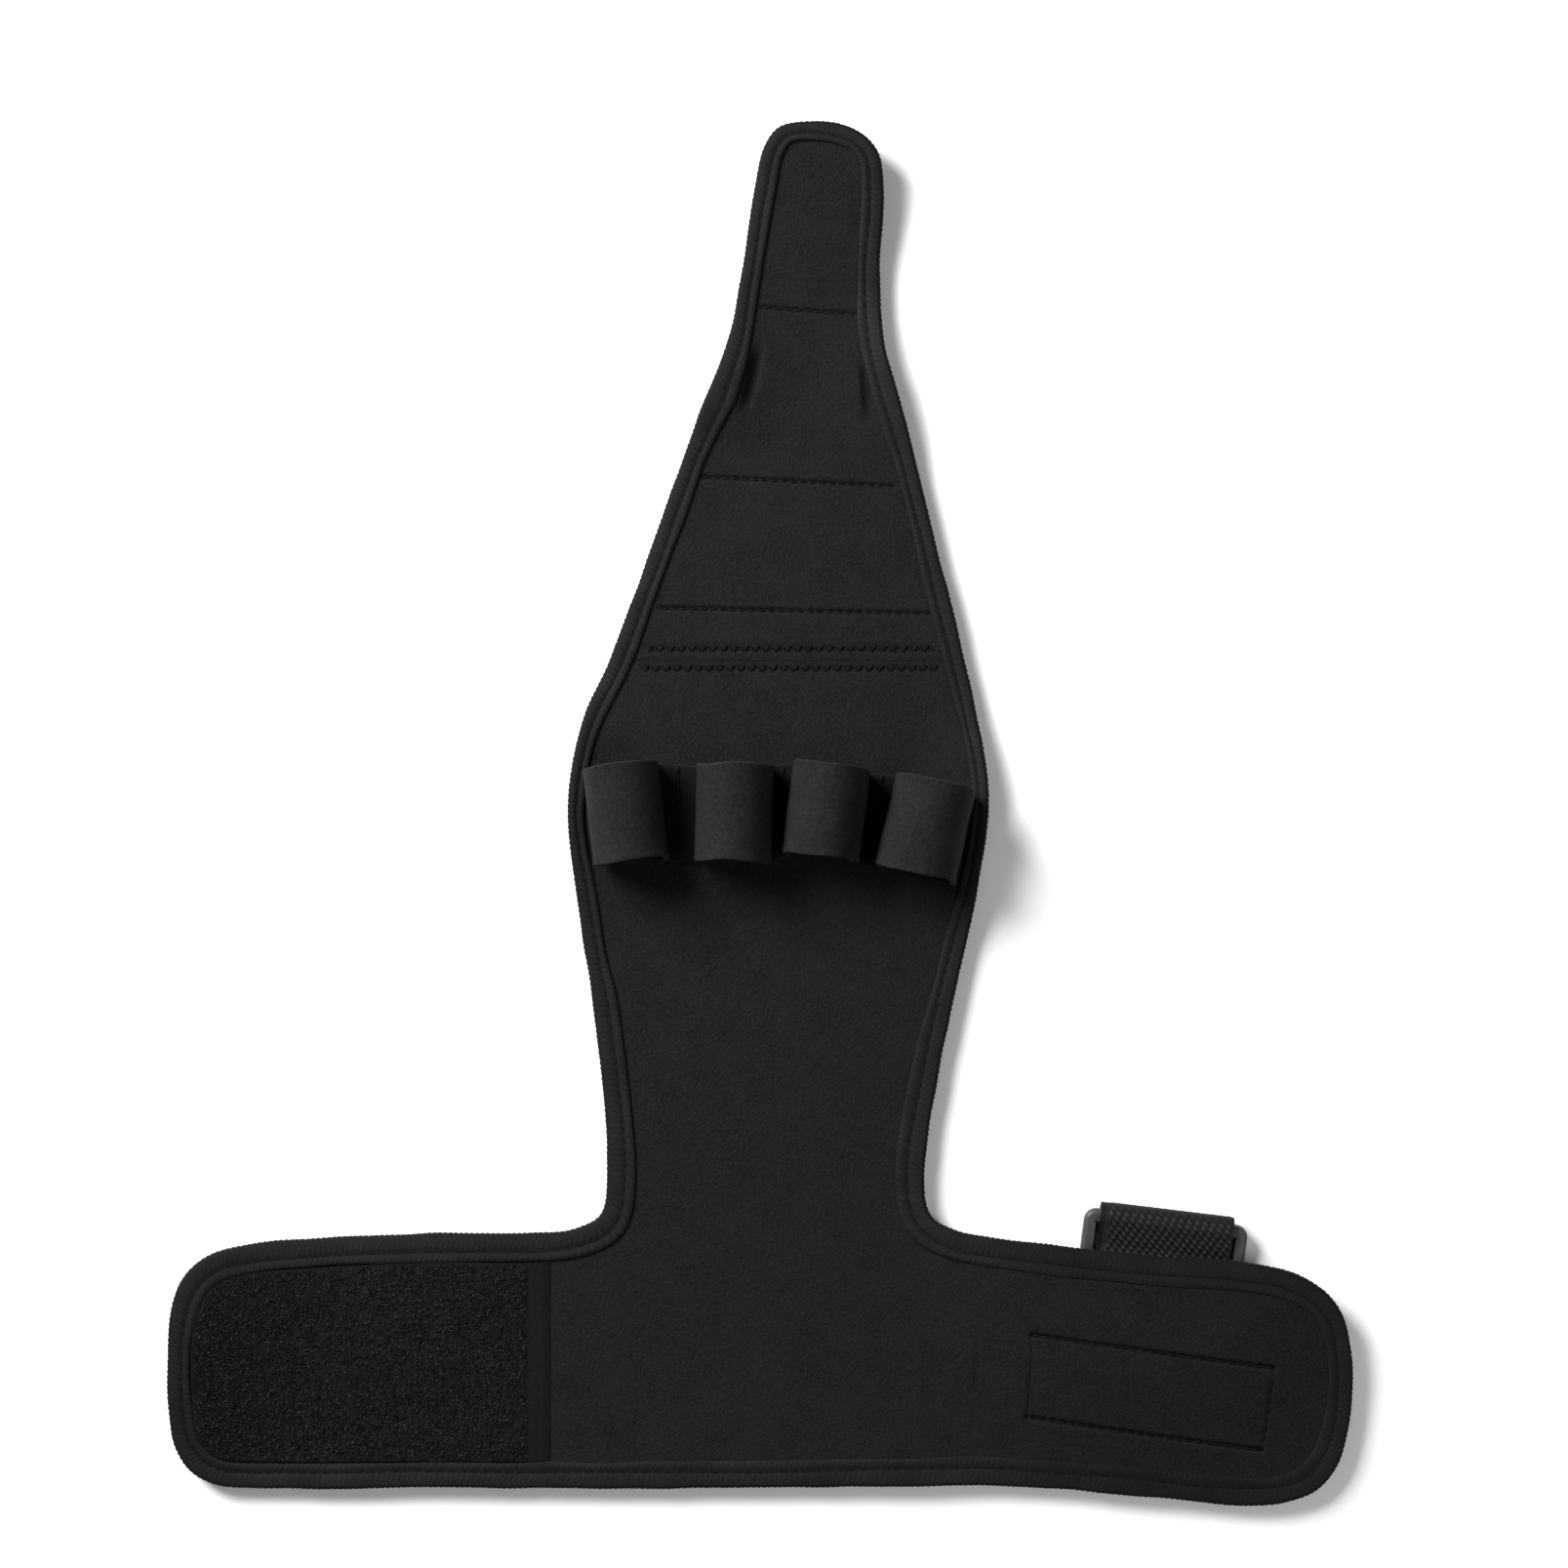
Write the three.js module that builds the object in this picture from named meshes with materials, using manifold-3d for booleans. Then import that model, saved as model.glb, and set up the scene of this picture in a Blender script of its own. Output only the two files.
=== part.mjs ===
// A soft finger splint, lying open: a neoprene wrap with a hand panel, a fold-over tongue and two
// wrist wings, bound all round with tape, with one strip sewn across it as four finger loops.
// Millimetres. +X points to the index finger's side, +Y to the fingertips, +Z up from the inner face.
// The origin is the middle of the outline, on the surface that the splint lies on.

import * as THREE from 'three';
import { mergeVertices } from 'three/addons/utils/BufferGeometryUtils.js';
import Module from 'manifold-3d';

const wasm = await Module();
wasm.setup();

// Driving dimensions
const GAP = 0.3; // clearance between pieces that are sewn face to face
const TAPE = 0.8; // thickness of the binding tape and of the sewn-on fastener tapes
const PANEL = 2.6; // thickness of the neoprene laminate
const LOOP_PILE = 1.0; // thickness of the soft loop patch on the left wing
const BINDING_WIDTH = 6.6; // how far the tape reaches in from the edge
const BINDING_PINCHED = 4.0; // the same beside the knuckles, where the edge rolls up
const EDGE_WALL = 1.0; // the folded tape outside the panel's cut edge
const FOLD = { flat: 1.6, shoulder: 0.4, rise: 0.5 }; // the fold's rounding, in from the edge and up
const GRID = 7.4; // spacing of the cloth's faces

const PANEL_BOTTOM = TAPE + GAP;
const PANEL_TOP = PANEL_BOTTOM + PANEL;
const SEAT = PANEL_TOP + GAP; // where a piece sewn on the inner face starts
const LOOP_SEAT = SEAT + 0.2; // the loop strip's feet bridge the panel's facets
const BINDING_HEIGHT = SEAT + TAPE;
const SHEET = { width: 300, length: 350, low: -20, high: 40 };

// Left and right edge of the hand panel and the tongue, a row for each height
const HAND_SECTIONS = [
  { at: 'wrist', y: -90, left: -37.6, right: 40.2 },
  { at: 'heel of the hand', y: -49, left: -40.8, right: 46.6 },
  { at: 'palm', y: -20, left: -45.2, right: 53.0 },
  { at: 'knuckles', y: 2, left: -47.2, right: 55.9 },
  { at: 'finger roots', y: 22, left: -44.0, right: 53.6 },
  { at: 'tongue root', y: 38, left: -36.9, right: 50.1 },
  { at: 'fingertips', y: 66, left: -26.6, right: 43.2 },
  { at: 'shoulder', y: 95, left: -16.3, right: 35.9 },
  { at: 'neck', y: 115, left: -8.3, right: 30.6 },
  { at: 'tongue middle', y: 131, left: -5.0, right: 29.3 },
  { at: 'tongue end', y: 152, left: -1.5, right: 30.1 },
];
// Round end of the tongue, from right to left
const TONGUE_TIP = [
  { x: 29.0, y: 161.5 },
  { x: 24.4, y: 166.7 },
  { x: 14.0, y: 169.2 },
  { x: 5.0, y: 168.0 },
  { x: 1.2, y: 163.5 },
];
// The wings, from the lower edge's middle to the right, round the end and back along the top
const RIGHT_WING = [
  { at: 'lower edge', x: 38, y: -164.8 },
  { at: 'lower edge', x: 60, y: -164.7 },
  { at: 'lower edge', x: 82, y: -166.2 },
  { at: 'lower edge', x: 102, y: -168.1 },
  { at: 'lower edge', x: 119, y: -169.6 },
  { at: 'lower corner', x: 129, y: -168.8 },
  { at: 'lower corner', x: 136.6, y: -165.6 },
  { at: 'lower corner', x: 141.5, y: -159.5 },
  { at: 'end', x: 144.3, y: -150.5 },
  { at: 'end', x: 145.2, y: -141.0 },
  { at: 'end', x: 144.9, y: -132.0 },
  { at: 'upper corner', x: 142.8, y: -123.0 },
  { at: 'upper corner', x: 138.3, y: -116.6 },
  { at: 'upper corner', x: 130.5, y: -112.2 },
  { at: 'upper edge', x: 119, y: -109.5 },
  { at: 'upper edge', x: 98.6, y: -108.1 },
  { at: 'upper edge', x: 77, y: -105.8 },
  { at: 'upper edge', x: 56, y: -103.5 },
  { at: 'inner corner', x: 47.5, y: -101.9 },
  { at: 'inner corner', x: 42.2, y: -98.6 },
];
const LEFT_WING = [
  { at: 'inner corner', x: -39.3, y: -98.4 },
  { at: 'inner corner', x: -44.5, y: -101.3 },
  { at: 'upper edge', x: -55, y: -102.7 },
  { at: 'upper edge', x: -82, y: -102.8 },
  { at: 'upper edge', x: -110, y: -104.1 },
  { at: 'upper edge', x: -126, y: -105.4 },
  { at: 'upper corner', x: -135.4, y: -108.2 },
  { at: 'upper corner', x: -141.0, y: -113.4 },
  { at: 'upper corner', x: -143.9, y: -121.4 },
  { at: 'end', x: -144.8, y: -133.0 },
  { at: 'end', x: -144.7, y: -146.0 },
  { at: 'lower corner', x: -143.4, y: -154.6 },
  { at: 'lower corner', x: -139.8, y: -160.7 },
  { at: 'lower corner', x: -133.6, y: -164.3 },
  { at: 'lower edge', x: -124, y: -165.3 },
  { at: 'lower edge', x: -80, y: -165.2 },
  { at: 'lower edge', x: -34, y: -165.4 },
  { at: 'lower edge', x: 2, y: -165.2 },
];
const STEPS_PER_POINT = 3;
const TURN_SPREAD = 8; // a sharp corner's turn is spread over this much edge, so that insets stay clean

// Where the lying cloth lifts off the surface: level within "flat" of the centre, gone "reach" further
const LIFTS = [
  { where: 'wing over the ring', x: 98.6, y: -108.1, flat: 22, reach: 46, height: 4.5 },
  { where: 'end of the tongue', x: 16, y: 192, flat: 10, reach: 66, height: 6 },
  { where: 'left side of the neck', x: -16, y: 110, flat: 4, reach: 24, height: 2.6 },
  { where: 'right side of the neck', x: 42, y: 108, flat: 4, reach: 24, height: 2.6 },
  { where: 'end of the left wing', x: -168, y: -118, flat: 10, reach: 56, height: 6 },
  { where: 'little finger side', x: -66, y: 2, flat: 8, reach: 34, height: 3.6 },
  { where: 'index finger side', x: 74, y: 0, flat: 8, reach: 34, height: 3.6 },
];
// The tape is narrower within this reach of the knuckles' two sides
const PINCHES = [{ x: -47, y: 0 }, { x: 56, y: 0 }];
const PINCH_REACH = 48;

// Each finger loop: the middle of its two open ends on the panel, its outer width and its height
const FINGER_LOOPS = [
  { finger: 'little', tipX: -34.2, tipY: 12.8, rootX: -31.3, rootY: -12.2, width: 18.5, height: 15.6 },
  { finger: 'ring', tipX: -6.1, tipY: 12.8, rootX: -6.6, rootY: -11.4, width: 18.9, height: 17.2 },
  { finger: 'middle', tipX: 17.6, tipY: 12.5, rootX: 14.6, rootY: -11.0, width: 18.9, height: 17.6 },
  { finger: 'index', tipX: 43.1, tipY: 9.0, rootX: 37.5, rootY: -15.2, width: 20.0, height: 17.4 },
];
const LOOP_LEAN = 0.07; // how far a loop's top leans towards the fingertips, for each mm of height
const STRIP = 1.6; // thickness of the loop strip
const LOOP_WAIST = 0.38; // height of a loop's widest place, as a share of its height
const LOOP_STEPS = 14;

// Ring and webbing on the right wing, in a frame of their own at the wing's upper edge
const RING_SEAT = { x: 98.6, y: -108.1, turn: THREE.MathUtils.degToRad(-6.9) };
const RING = { width: 40.4, depth: 19.9, bar: 3.7, thickness: 3.0, corner: 2.45, cornerSteps: 2, sides: 12 };
const WEBBING = {
  width: 31.6,
  thickness: 1.1,
  standOut: 10.9, // from the wing's edge to the fold round the ring's bar
  tail: 5.6, // sewn length under the wing
  forkBelow: 5.2, // from the bar's axis back to where each layer leaves the sewn tail
  forkAbove: 6.9,
  forkInside: 4.8,
  wrap: THREE.MathUtils.degToRad(125), // how far each face follows the bar to either side
  wrapInside: THREE.MathUtils.degToRad(118),
};
const WEBBING_STEPS = 14;
const WING_LIFT = LIFTS[0].height;
const FAR_BAR_CLEARANCE = 0.05; // between the ring's far bar and the surface

// Fastener tapes on the outer face, under their lines of stitches
const WING_HOOK = { x: 95, y: -141.8, length: 64, width: 24.5, turn: THREE.MathUtils.degToRad(-8.1) };
const TIP_HOOK_START = { x: 12, y: 123.5, turn: THREE.MathUtils.degToRad(-4.7) };
const TONGUE_LOOP_FROM = { x: 8, y: 50.0, turn: THREE.MathUtils.degToRad(-1.4) };
const TONGUE_LOOP_TO = { x: 8, y: 81.8, turn: THREE.MathUtils.degToRad(-3.1) };
const LOOP_PATCH_END = -51.5; // the left wing's loop patch runs from the end of the wing to here
const TONGUE_SEAM = 37.5; // the tongue is sewn to the hand panel along this line

const PLAN = new THREE.Vector3(0, 0, 1);

function easeOut(t) {
  return t <= 0 ? 1 : t >= 1 ? 0 : 0.5 * (1 + Math.cos(Math.PI * t));
}

// How high the lying cloth is above the surface at a place
function drape(x, y) {
  return LIFTS.reduce((sum, lift) => {
    const away = Math.hypot(x - lift.x, y - lift.y);
    return sum + lift.height * easeOut((away - lift.flat) / lift.reach);
  }, 0);
}

function tapeWidth(x, y) {
  const pinch = Math.max(...PINCHES.map((p) => easeOut(Math.hypot(x - p.x, y - p.y) / PINCH_REACH)));
  return BINDING_WIDTH + (BINDING_PINCHED - BINDING_WIDTH) * pinch;
}

// The outline's stations, counter-clockwise, each with its inward direction
function outlineStations() {
  const side = (edge) => HAND_SECTIONS.map((row) => ({ x: row[edge], y: row.y }));
  const corners = [...RIGHT_WING, ...side('right'), ...TONGUE_TIP, ...side('left').reverse(), ...LEFT_WING];
  const points = corners.map((row) => new THREE.Vector3(row.x, row.y, 0));
  const curve = new THREE.CatmullRomCurve3(points, true, 'centripetal');
  const count = points.length * STEPS_PER_POINT;
  const stations = Array.from({ length: count }, (_, i) => {
    const at = curve.getPoint(i / count);
    const along = curve.getTangent(i / count);
    return { x: at.x, y: at.y, turned: new THREE.Vector3().crossVectors(PLAN, along) };
  });
  return stations.map((s) => {
    const inward = new THREE.Vector3();
    for (const other of stations) {
      const near = 1 - Math.hypot(other.x - s.x, other.y - s.y) / TURN_SPREAD;
      if (near > 0) inward.addScaledVector(other.turned, near);
    }
    inward.normalize();
    return { x: s.x, y: s.y, inX: inward.x, inY: inward.y };
  });
}
const OUTLINE = outlineStations();

function insetPoint(station, inset) {
  return new THREE.Vector2(station.x + station.inX * inset, station.y + station.inY * inset);
}

// A closed three.js geometry as a solid that can be cut and joined
function toSolid(geometry) {
  const bare = geometry.clone();
  bare.deleteAttribute('normal');
  bare.deleteAttribute('uv');
  const merged = mergeVertices(bare, 1e-4);
  return new wasm.Manifold(new wasm.Mesh({
    numProp: 3,
    vertProperties: merged.attributes.position.array,
    triVerts: new Uint32Array(merged.index.array),
  }));
}

function toGeometry(solid) {
  const mesh = solid.getMesh();
  const geometry = new THREE.BufferGeometry();
  geometry.setAttribute('position', new THREE.BufferAttribute(new Float32Array(mesh.vertProperties), 3));
  geometry.setIndex(new THREE.BufferAttribute(new Uint32Array(mesh.triVerts), 1));
  const flat = geometry.toNonIndexed();
  flat.computeVertexNormals();
  return flat;
}

// A wide sheet of cloth between two heights, lying as the splint lies
function drapedSheet(bottom, top) {
  const across = Math.round(SHEET.width / GRID);
  const along = Math.round(SHEET.length / GRID);
  const box = new THREE.BoxGeometry(SHEET.width, SHEET.length, top - bottom, across, along, 1);
  const place = box.attributes.position;
  for (let i = 0; i < place.count; i++) {
    const lifted = place.getZ(i) + (top + bottom) / 2 + drape(place.getX(i), place.getY(i));
    place.setZ(i, lifted);
  }
  return toSolid(box);
}

// A tall cutter of the outline's own shape, set in from the edge by a width that may vary
function outlineCutter(insetAt) {
  const shape = new THREE.Shape(OUTLINE.map((s) => insetPoint(s, insetAt(s))));
  const cutter = new THREE.ExtrudeGeometry(shape, { depth: SHEET.high - SHEET.low, bevelEnabled: false });
  cutter.translate(0, 0, SHEET.low);
  return toSolid(cutter);
}

// A tall rectangular cutter
function blockCutter(place, sizeX, sizeY, offsetX = 0, offsetY = 0) {
  const block = new THREE.BoxGeometry(sizeX, sizeY, SHEET.high - SHEET.low);
  block.translate(offsetX, offsetY, (SHEET.high + SHEET.low) / 2);
  block.rotateZ(place.turn ?? 0);
  block.translate(place.x, place.y, 0);
  return toSolid(block);
}

// A cutter for all that lies beyond a line across the splint: side 1 is above it, -1 below
function beyond(line, side) {
  return blockCutter(line, 2 * SHEET.width, SHEET.length, 0, side * SHEET.length / 2);
}

// A closed ring of quads: a section of [inset, height] points carried round the stations
function sweptLoop(stations, sectionAt) {
  const places = [];
  const faces = [];
  const size = sectionAt(stations[0]).length;
  stations.forEach((station, i) => {
    const next = (i + 1) % stations.length;
    sectionAt(station).forEach(([inset, height], j) => {
      const at = insetPoint(station, inset);
      places.push(at.x, at.y, height);
      const k = (j + 1) % size;
      const [a, b, c, d] = [i * size + j, next * size + j, next * size + k, i * size + k];
      faces.push(a, b, c, a, c, d);
    });
  });
  const geometry = new THREE.BufferGeometry();
  geometry.setAttribute('position', new THREE.Float32BufferAttribute(places, 3));
  geometry.setIndex(faces);
  return geometry;
}

// Folded tape round the edge: open inwards, holding the panel's cut edge
function bindingGeometry() {
  return sweptLoop(OUTLINE, (station) => {
    const width = tapeWidth(station.x, station.y);
    const section = [
      [width, BINDING_HEIGHT],
      [width, BINDING_HEIGHT - TAPE],
      [EDGE_WALL, BINDING_HEIGHT - TAPE],
      [EDGE_WALL, TAPE],
      [width, TAPE],
      [width, 0],
      [FOLD.flat, 0],
      [FOLD.shoulder, FOLD.rise],
      [0, BINDING_HEIGHT / 2],
      [FOLD.shoulder, BINDING_HEIGHT - FOLD.rise],
      [FOLD.flat, BINDING_HEIGHT],
    ];
    return section.map(([inset, height]) => {
      const at = insetPoint(station, inset);
      return [inset, height + drape(at.x, at.y)];
    });
  });
}

// The outer and inner line of the strip in one loop's own frame, from its left foot to its right foot
function loopProfile(loop) {
  const waist = loop.height * LOOP_WAIST;
  const half = loop.width / 2;
  const rise = loop.height - waist;
  const outerFoot = Math.asin((waist - STRIP) / rise);
  const innerFoot = Math.asin(waist / (rise - STRIP));
  return Array.from({ length: LOOP_STEPS + 1 }, (_, i) => {
    const t = i / LOOP_STEPS;
    const outer = -outerFoot + t * (Math.PI + 2 * outerFoot);
    const inner = -innerFoot + t * (Math.PI + 2 * innerFoot);
    return {
      outer: [-half * Math.cos(outer), waist + rise * Math.sin(outer)],
      inner: [-(half - STRIP) * Math.cos(inner), waist + (rise - STRIP) * Math.sin(inner)],
    };
  });
}

// One strip in a row of loops, flat on the panel between them
function loopStripGeometry() {
  const corners = [];
  for (const loop of FINGER_LOOPS) {
    const tip = new THREE.Vector2(loop.tipX, loop.tipY);
    const root = new THREE.Vector2(loop.rootX, loop.rootY);
    const along = tip.clone().sub(root).normalize();
    const across = new THREE.Vector2(along.y, -along.x);
    for (const { outer, inner } of loopProfile(loop)) {
      const station = [[tip, outer], [root, outer], [root, inner], [tip, inner]];
      corners.push(station.map(([end, [offset, height]]) => {
        const at = end.clone().addScaledVector(across, offset).addScaledVector(along, LOOP_LEAN * height);
        return [at.x, at.y, LOOP_SEAT + height + drape(at.x, at.y)];
      }));
    }
  }
  const faces = [];
  for (let i = 0; i + 1 < corners.length; i++) {
    for (let j = 0; j < 4; j++) {
      const k = (j + 1) % 4;
      const [a, b, c, d] = [4 * i + j, 4 * i + k, 4 * i + 4 + k, 4 * i + 4 + j];
      faces.push(a, b, c, a, c, d);
    }
  }
  const last = 4 * (corners.length - 1);
  faces.push(0, 3, 2, 0, 2, 1, last, last + 1, last + 2, last, last + 2, last + 3);
  const geometry = new THREE.BufferGeometry();
  geometry.setAttribute('position', new THREE.Float32BufferAttribute(corners.flat(2), 3));
  geometry.setIndex(faces);
  return geometry;
}

// Rectangular ring of oval section, its held bar on the local X axis and the rest towards -Y
function ringGeometry() {
  const halfBar = RING.bar / 2;
  const wide = RING.width / 2 - halfBar;
  const deep = RING.depth - RING.bar;
  const path = new THREE.Path();
  const corner = (x, y, from) => path.absarc(x, y, RING.corner, from, from + Math.PI / 2, false);
  corner(wide - RING.corner, -RING.corner, 0);
  corner(-wide + RING.corner, -RING.corner, Math.PI / 2);
  corner(-wide + RING.corner, -deep + RING.corner, Math.PI);
  corner(wide - RING.corner, -deep + RING.corner, 1.5 * Math.PI);
  path.closePath();
  const points = path.getPoints(RING.cornerSteps).slice(0, -1);
  const stations = points.map((p, i) => {
    const before = points[(i + points.length - 1) % points.length];
    const after = points[(i + 1) % points.length];
    const run = after.clone().sub(before).normalize();
    return { x: p.x, y: p.y, inX: -run.y, inY: run.x };
  });
  return sweptLoop(stations, () => Array.from({ length: RING.sides }, (_, i) => {
    const turn = -2 * Math.PI * i / RING.sides;
    return [halfBar * Math.cos(turn), RING.thickness / 2 * Math.sin(turn)];
  }));
}

// Webbing folded round the ring's bar, its two layers sewn together under the wing's edge
function webbingGeometry() {
  const tunnel = RING.bar / 2 + GAP;
  const outer = tunnel + WEBBING.thickness;
  const bar = new THREE.Vector2(WEBBING.standOut - outer, outer);
  const top = WING_LIFT - GAP;
  const bottom = top - 2 * WEBBING.thickness;
  const { wrap, wrapInside } = WEBBING;
  const shape = new THREE.Shape();
  shape.moveTo(-WEBBING.tail, bottom);
  shape.lineTo(bar.x - WEBBING.forkBelow, bottom);
  shape.absarc(bar.x, bar.y, outer, -wrap, wrap, false);
  shape.lineTo(bar.x - WEBBING.forkAbove, top);
  shape.lineTo(-WEBBING.tail, top);
  shape.closePath();
  const hole = new THREE.Path();
  hole.absarc(bar.x, bar.y, tunnel, -wrapInside, wrapInside, false);
  hole.lineTo(bar.x - WEBBING.forkInside, (top + bottom) / 2);
  hole.closePath();
  shape.holes.push(hole);
  const webbing = new THREE.ExtrudeGeometry(shape, {
    depth: WEBBING.width, bevelEnabled: false, curveSegments: WEBBING_STEPS,
  });
  // The profile was drawn as outwards and up; the extrusion runs along the bar
  webbing.translate(0, 0, -WEBBING.width / 2);
  webbing.applyMatrix4(new THREE.Matrix4().makeBasis(
    new THREE.Vector3(0, 1, 0), new THREE.Vector3(0, 0, 1), new THREE.Vector3(1, 0, 0)));
  return { webbing, bar };
}

function cloth(name, geometry, colour, roughness) {
  const material = new THREE.MeshStandardMaterial({ color: colour, roughness, metalness: 0 });
  const mesh = new THREE.Mesh(geometry, material);
  mesh.name = name;
  return mesh;
}

function buildPanels() {
  const whole = drapedSheet(PANEL_BOTTOM, PANEL_TOP).intersect(outlineCutter(() => EDGE_WALL + GAP));
  const hand = whole.intersect(beyond({ x: 0, y: TONGUE_SEAM - GAP / 2 }, -1));
  const tongue = whole.intersect(beyond({ x: 0, y: TONGUE_SEAM + GAP / 2 }, 1));
  return [
    cloth('hand_panel', toGeometry(hand), 0x222423, 0.9),
    cloth('tongue_panel', toGeometry(tongue), 0x222423, 0.9),
  ];
}

function buildPatches() {
  const insideTape = outlineCutter((s) => tapeWidth(s.x, s.y) + GAP);
  const under = drapedSheet(0, TAPE).intersect(insideTape);
  const pile = drapedSheet(SEAT, SEAT + LOOP_PILE)
    .intersect(insideTape)
    .intersect(blockCutter({ x: LOOP_PATCH_END, y: 0 }, SHEET.width, SHEET.length, -SHEET.width / 2));
  const wingHook = under.intersect(blockCutter(WING_HOOK, WING_HOOK.length, WING_HOOK.width));
  const tipHook = under.intersect(beyond(TIP_HOOK_START, 1));
  const tongueLoop = under.intersect(beyond(TONGUE_LOOP_FROM, 1)).intersect(beyond(TONGUE_LOOP_TO, -1));
  return [
    cloth('wing_loop_patch', toGeometry(pile), 0x191b1a, 1),
    cloth('wing_hook_patch', toGeometry(wingHook), 0x161717, 0.8),
    cloth('tongue_hook_patch', toGeometry(tipHook), 0x161717, 0.8),
    cloth('tongue_loop_patch', toGeometry(tongueLoop), 0x191b1a, 1),
  ];
}

function buildRing() {
  const { webbing, bar } = webbingGeometry();
  const plastic = new THREE.MeshStandardMaterial({ color: 0x4c4e4d, roughness: 0.4 });
  const ring = new THREE.Mesh(ringGeometry(), plastic);
  ring.name = 'buckle_ring';
  // The held bar is up in the webbing and the far bar lies on the surface
  const farBar = RING.thickness / 2 + FAR_BAR_CLEARANCE;
  ring.position.set(0, bar.x, bar.y);
  ring.rotation.x = Math.asin((bar.y - farBar) / (RING.depth - RING.bar));
  const group = new THREE.Group();
  group.position.set(RING_SEAT.x, RING_SEAT.y, 0);
  group.rotation.z = RING_SEAT.turn;
  group.add(ring, cloth('ring_webbing', webbing, 0x1d1f1e, 0.7));
  return group;
}

const splint = new THREE.Group();
splint.name = 'finger_splint';
splint.add(
  ...buildPanels(),
  cloth('edge_binding', bindingGeometry(), 0x262827, 0.85),
  ...buildPatches(),
  cloth('finger_loop_strip', loopStripGeometry(), 0x2c2f2e, 0.9),
  buildRing(),
);

export default splint;
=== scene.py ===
# A soft finger splint lying open with its inner face up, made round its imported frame.
# The tables and the mesh code are in millimetres, and build() turns them into Blender's metres.
from math import asin, cos, hypot, pi, radians, sin

import bmesh
import bpy
import numpy as np
from mathutils import Matrix, Vector
from mathutils.geometry import delaunay_2d_cdt


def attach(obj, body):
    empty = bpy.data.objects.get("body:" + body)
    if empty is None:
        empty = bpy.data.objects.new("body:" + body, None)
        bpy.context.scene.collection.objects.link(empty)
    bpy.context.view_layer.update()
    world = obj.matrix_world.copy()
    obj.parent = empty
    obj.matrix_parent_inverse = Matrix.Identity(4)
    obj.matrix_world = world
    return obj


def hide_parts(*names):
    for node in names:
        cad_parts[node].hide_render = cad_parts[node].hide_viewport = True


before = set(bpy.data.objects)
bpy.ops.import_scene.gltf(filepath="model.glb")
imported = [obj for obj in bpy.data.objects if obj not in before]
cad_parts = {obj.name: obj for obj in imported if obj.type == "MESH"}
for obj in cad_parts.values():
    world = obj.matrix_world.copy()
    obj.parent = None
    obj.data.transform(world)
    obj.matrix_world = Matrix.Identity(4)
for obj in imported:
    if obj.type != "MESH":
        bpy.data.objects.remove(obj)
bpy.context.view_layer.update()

MM = 0.001

# Camera, straight above the splint as in the photograph

CAMERA_PLACE = (5.8, 7.4, 1100)
VIEW_WIDTH = 385.7  # what the frame takes in at the height of the surface
SENSOR = 36

camera_data = bpy.data.cameras.new('camera')
camera_data.sensor_width = SENSOR
camera_data.lens = SENSOR * CAMERA_PLACE[2] / VIEW_WIDTH
camera = bpy.data.objects.new('camera', camera_data)
camera.location = Vector(CAMERA_PLACE) * MM
bpy.context.scene.collection.objects.link(camera)
bpy.context.scene.camera = camera

# Sizes shared with the frame

GAP = 0.3  # between pieces that are sewn face to face
TAPE = 0.8  # thickness of the binding tape and of the sewn-on fastener tapes
PANEL = 2.6  # thickness of the neoprene laminate
BINDING_WIDTH = 6.6  # how far the tape reaches in from the edge on average
EDGE_WALL = 1.0  # the folded tape outside the panel's cut edge
PANEL_BOTTOM = TAPE + GAP
PANEL_TOP = PANEL_BOTTOM + PANEL
SEAT = PANEL_TOP + GAP
LOOP_SEAT = SEAT + 0.2

# Left and right edge of the hand panel and the tongue, a row for each height: y, left x, right x
HAND_SECTIONS = [
    (-90, -37.6, 40.2), (-49, -40.8, 46.6), (-20, -45.2, 53.0), (2, -47.2, 55.9),
    (22, -44.0, 53.6), (38, -36.9, 50.1), (66, -26.6, 43.2), (95, -16.3, 35.9),
    (115, -8.3, 30.6), (131, -5.0, 29.3), (152, -1.5, 30.1),
]
# Round end of the tongue from right to left, then the wings: x, y
TONGUE_TIP = [(29.0, 161.5), (24.4, 166.7), (14.0, 169.2), (5.0, 168.0), (1.2, 163.5)]
RIGHT_WING = [
    (38, -164.8), (60, -164.7), (82, -166.2), (102, -168.1), (119, -169.6), (129, -168.8),
    (136.6, -165.6), (141.5, -159.5), (144.3, -150.5), (145.2, -141.0), (144.9, -132.0),
    (142.8, -123.0), (138.3, -116.6), (130.5, -112.2), (119, -109.5), (98.6, -108.1),
    (77, -105.8), (56, -103.5), (47.5, -101.9), (42.2, -98.6),
]
LEFT_WING = [
    (-39.3, -98.4), (-44.5, -101.3), (-55, -102.7), (-82, -102.8), (-110, -104.1),
    (-126, -105.4), (-135.4, -108.2), (-141.0, -113.4), (-143.9, -121.4), (-144.8, -133.0),
    (-144.7, -146.0), (-143.4, -154.6), (-139.8, -160.7), (-133.6, -164.3), (-124, -165.3),
    (-80, -165.2), (-34, -165.4), (2, -165.2),
]
TURN_SPREAD = 8  # a corner's turn is spread over this much edge

# Where the lying cloth lifts off the surface: centre x, y, level within, gone that much further
# out, height
LIFTS = [
    (98.6, -108.1, 22, 46, 4.5),  # wing over the ring
    (16, 192, 10, 66, 6),  # end of the tongue
    (-16, 110, 4, 24, 2.6),  # left side of the neck
    (42, 108, 4, 24, 2.6),  # right side of the neck
    (-168, -118, 10, 56, 6),  # end of the left wing
    (-66, 2, 8, 34, 3.6),  # left of the loops
    (74, 0, 8, 34, 3.6),  # right of the loops
]
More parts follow.
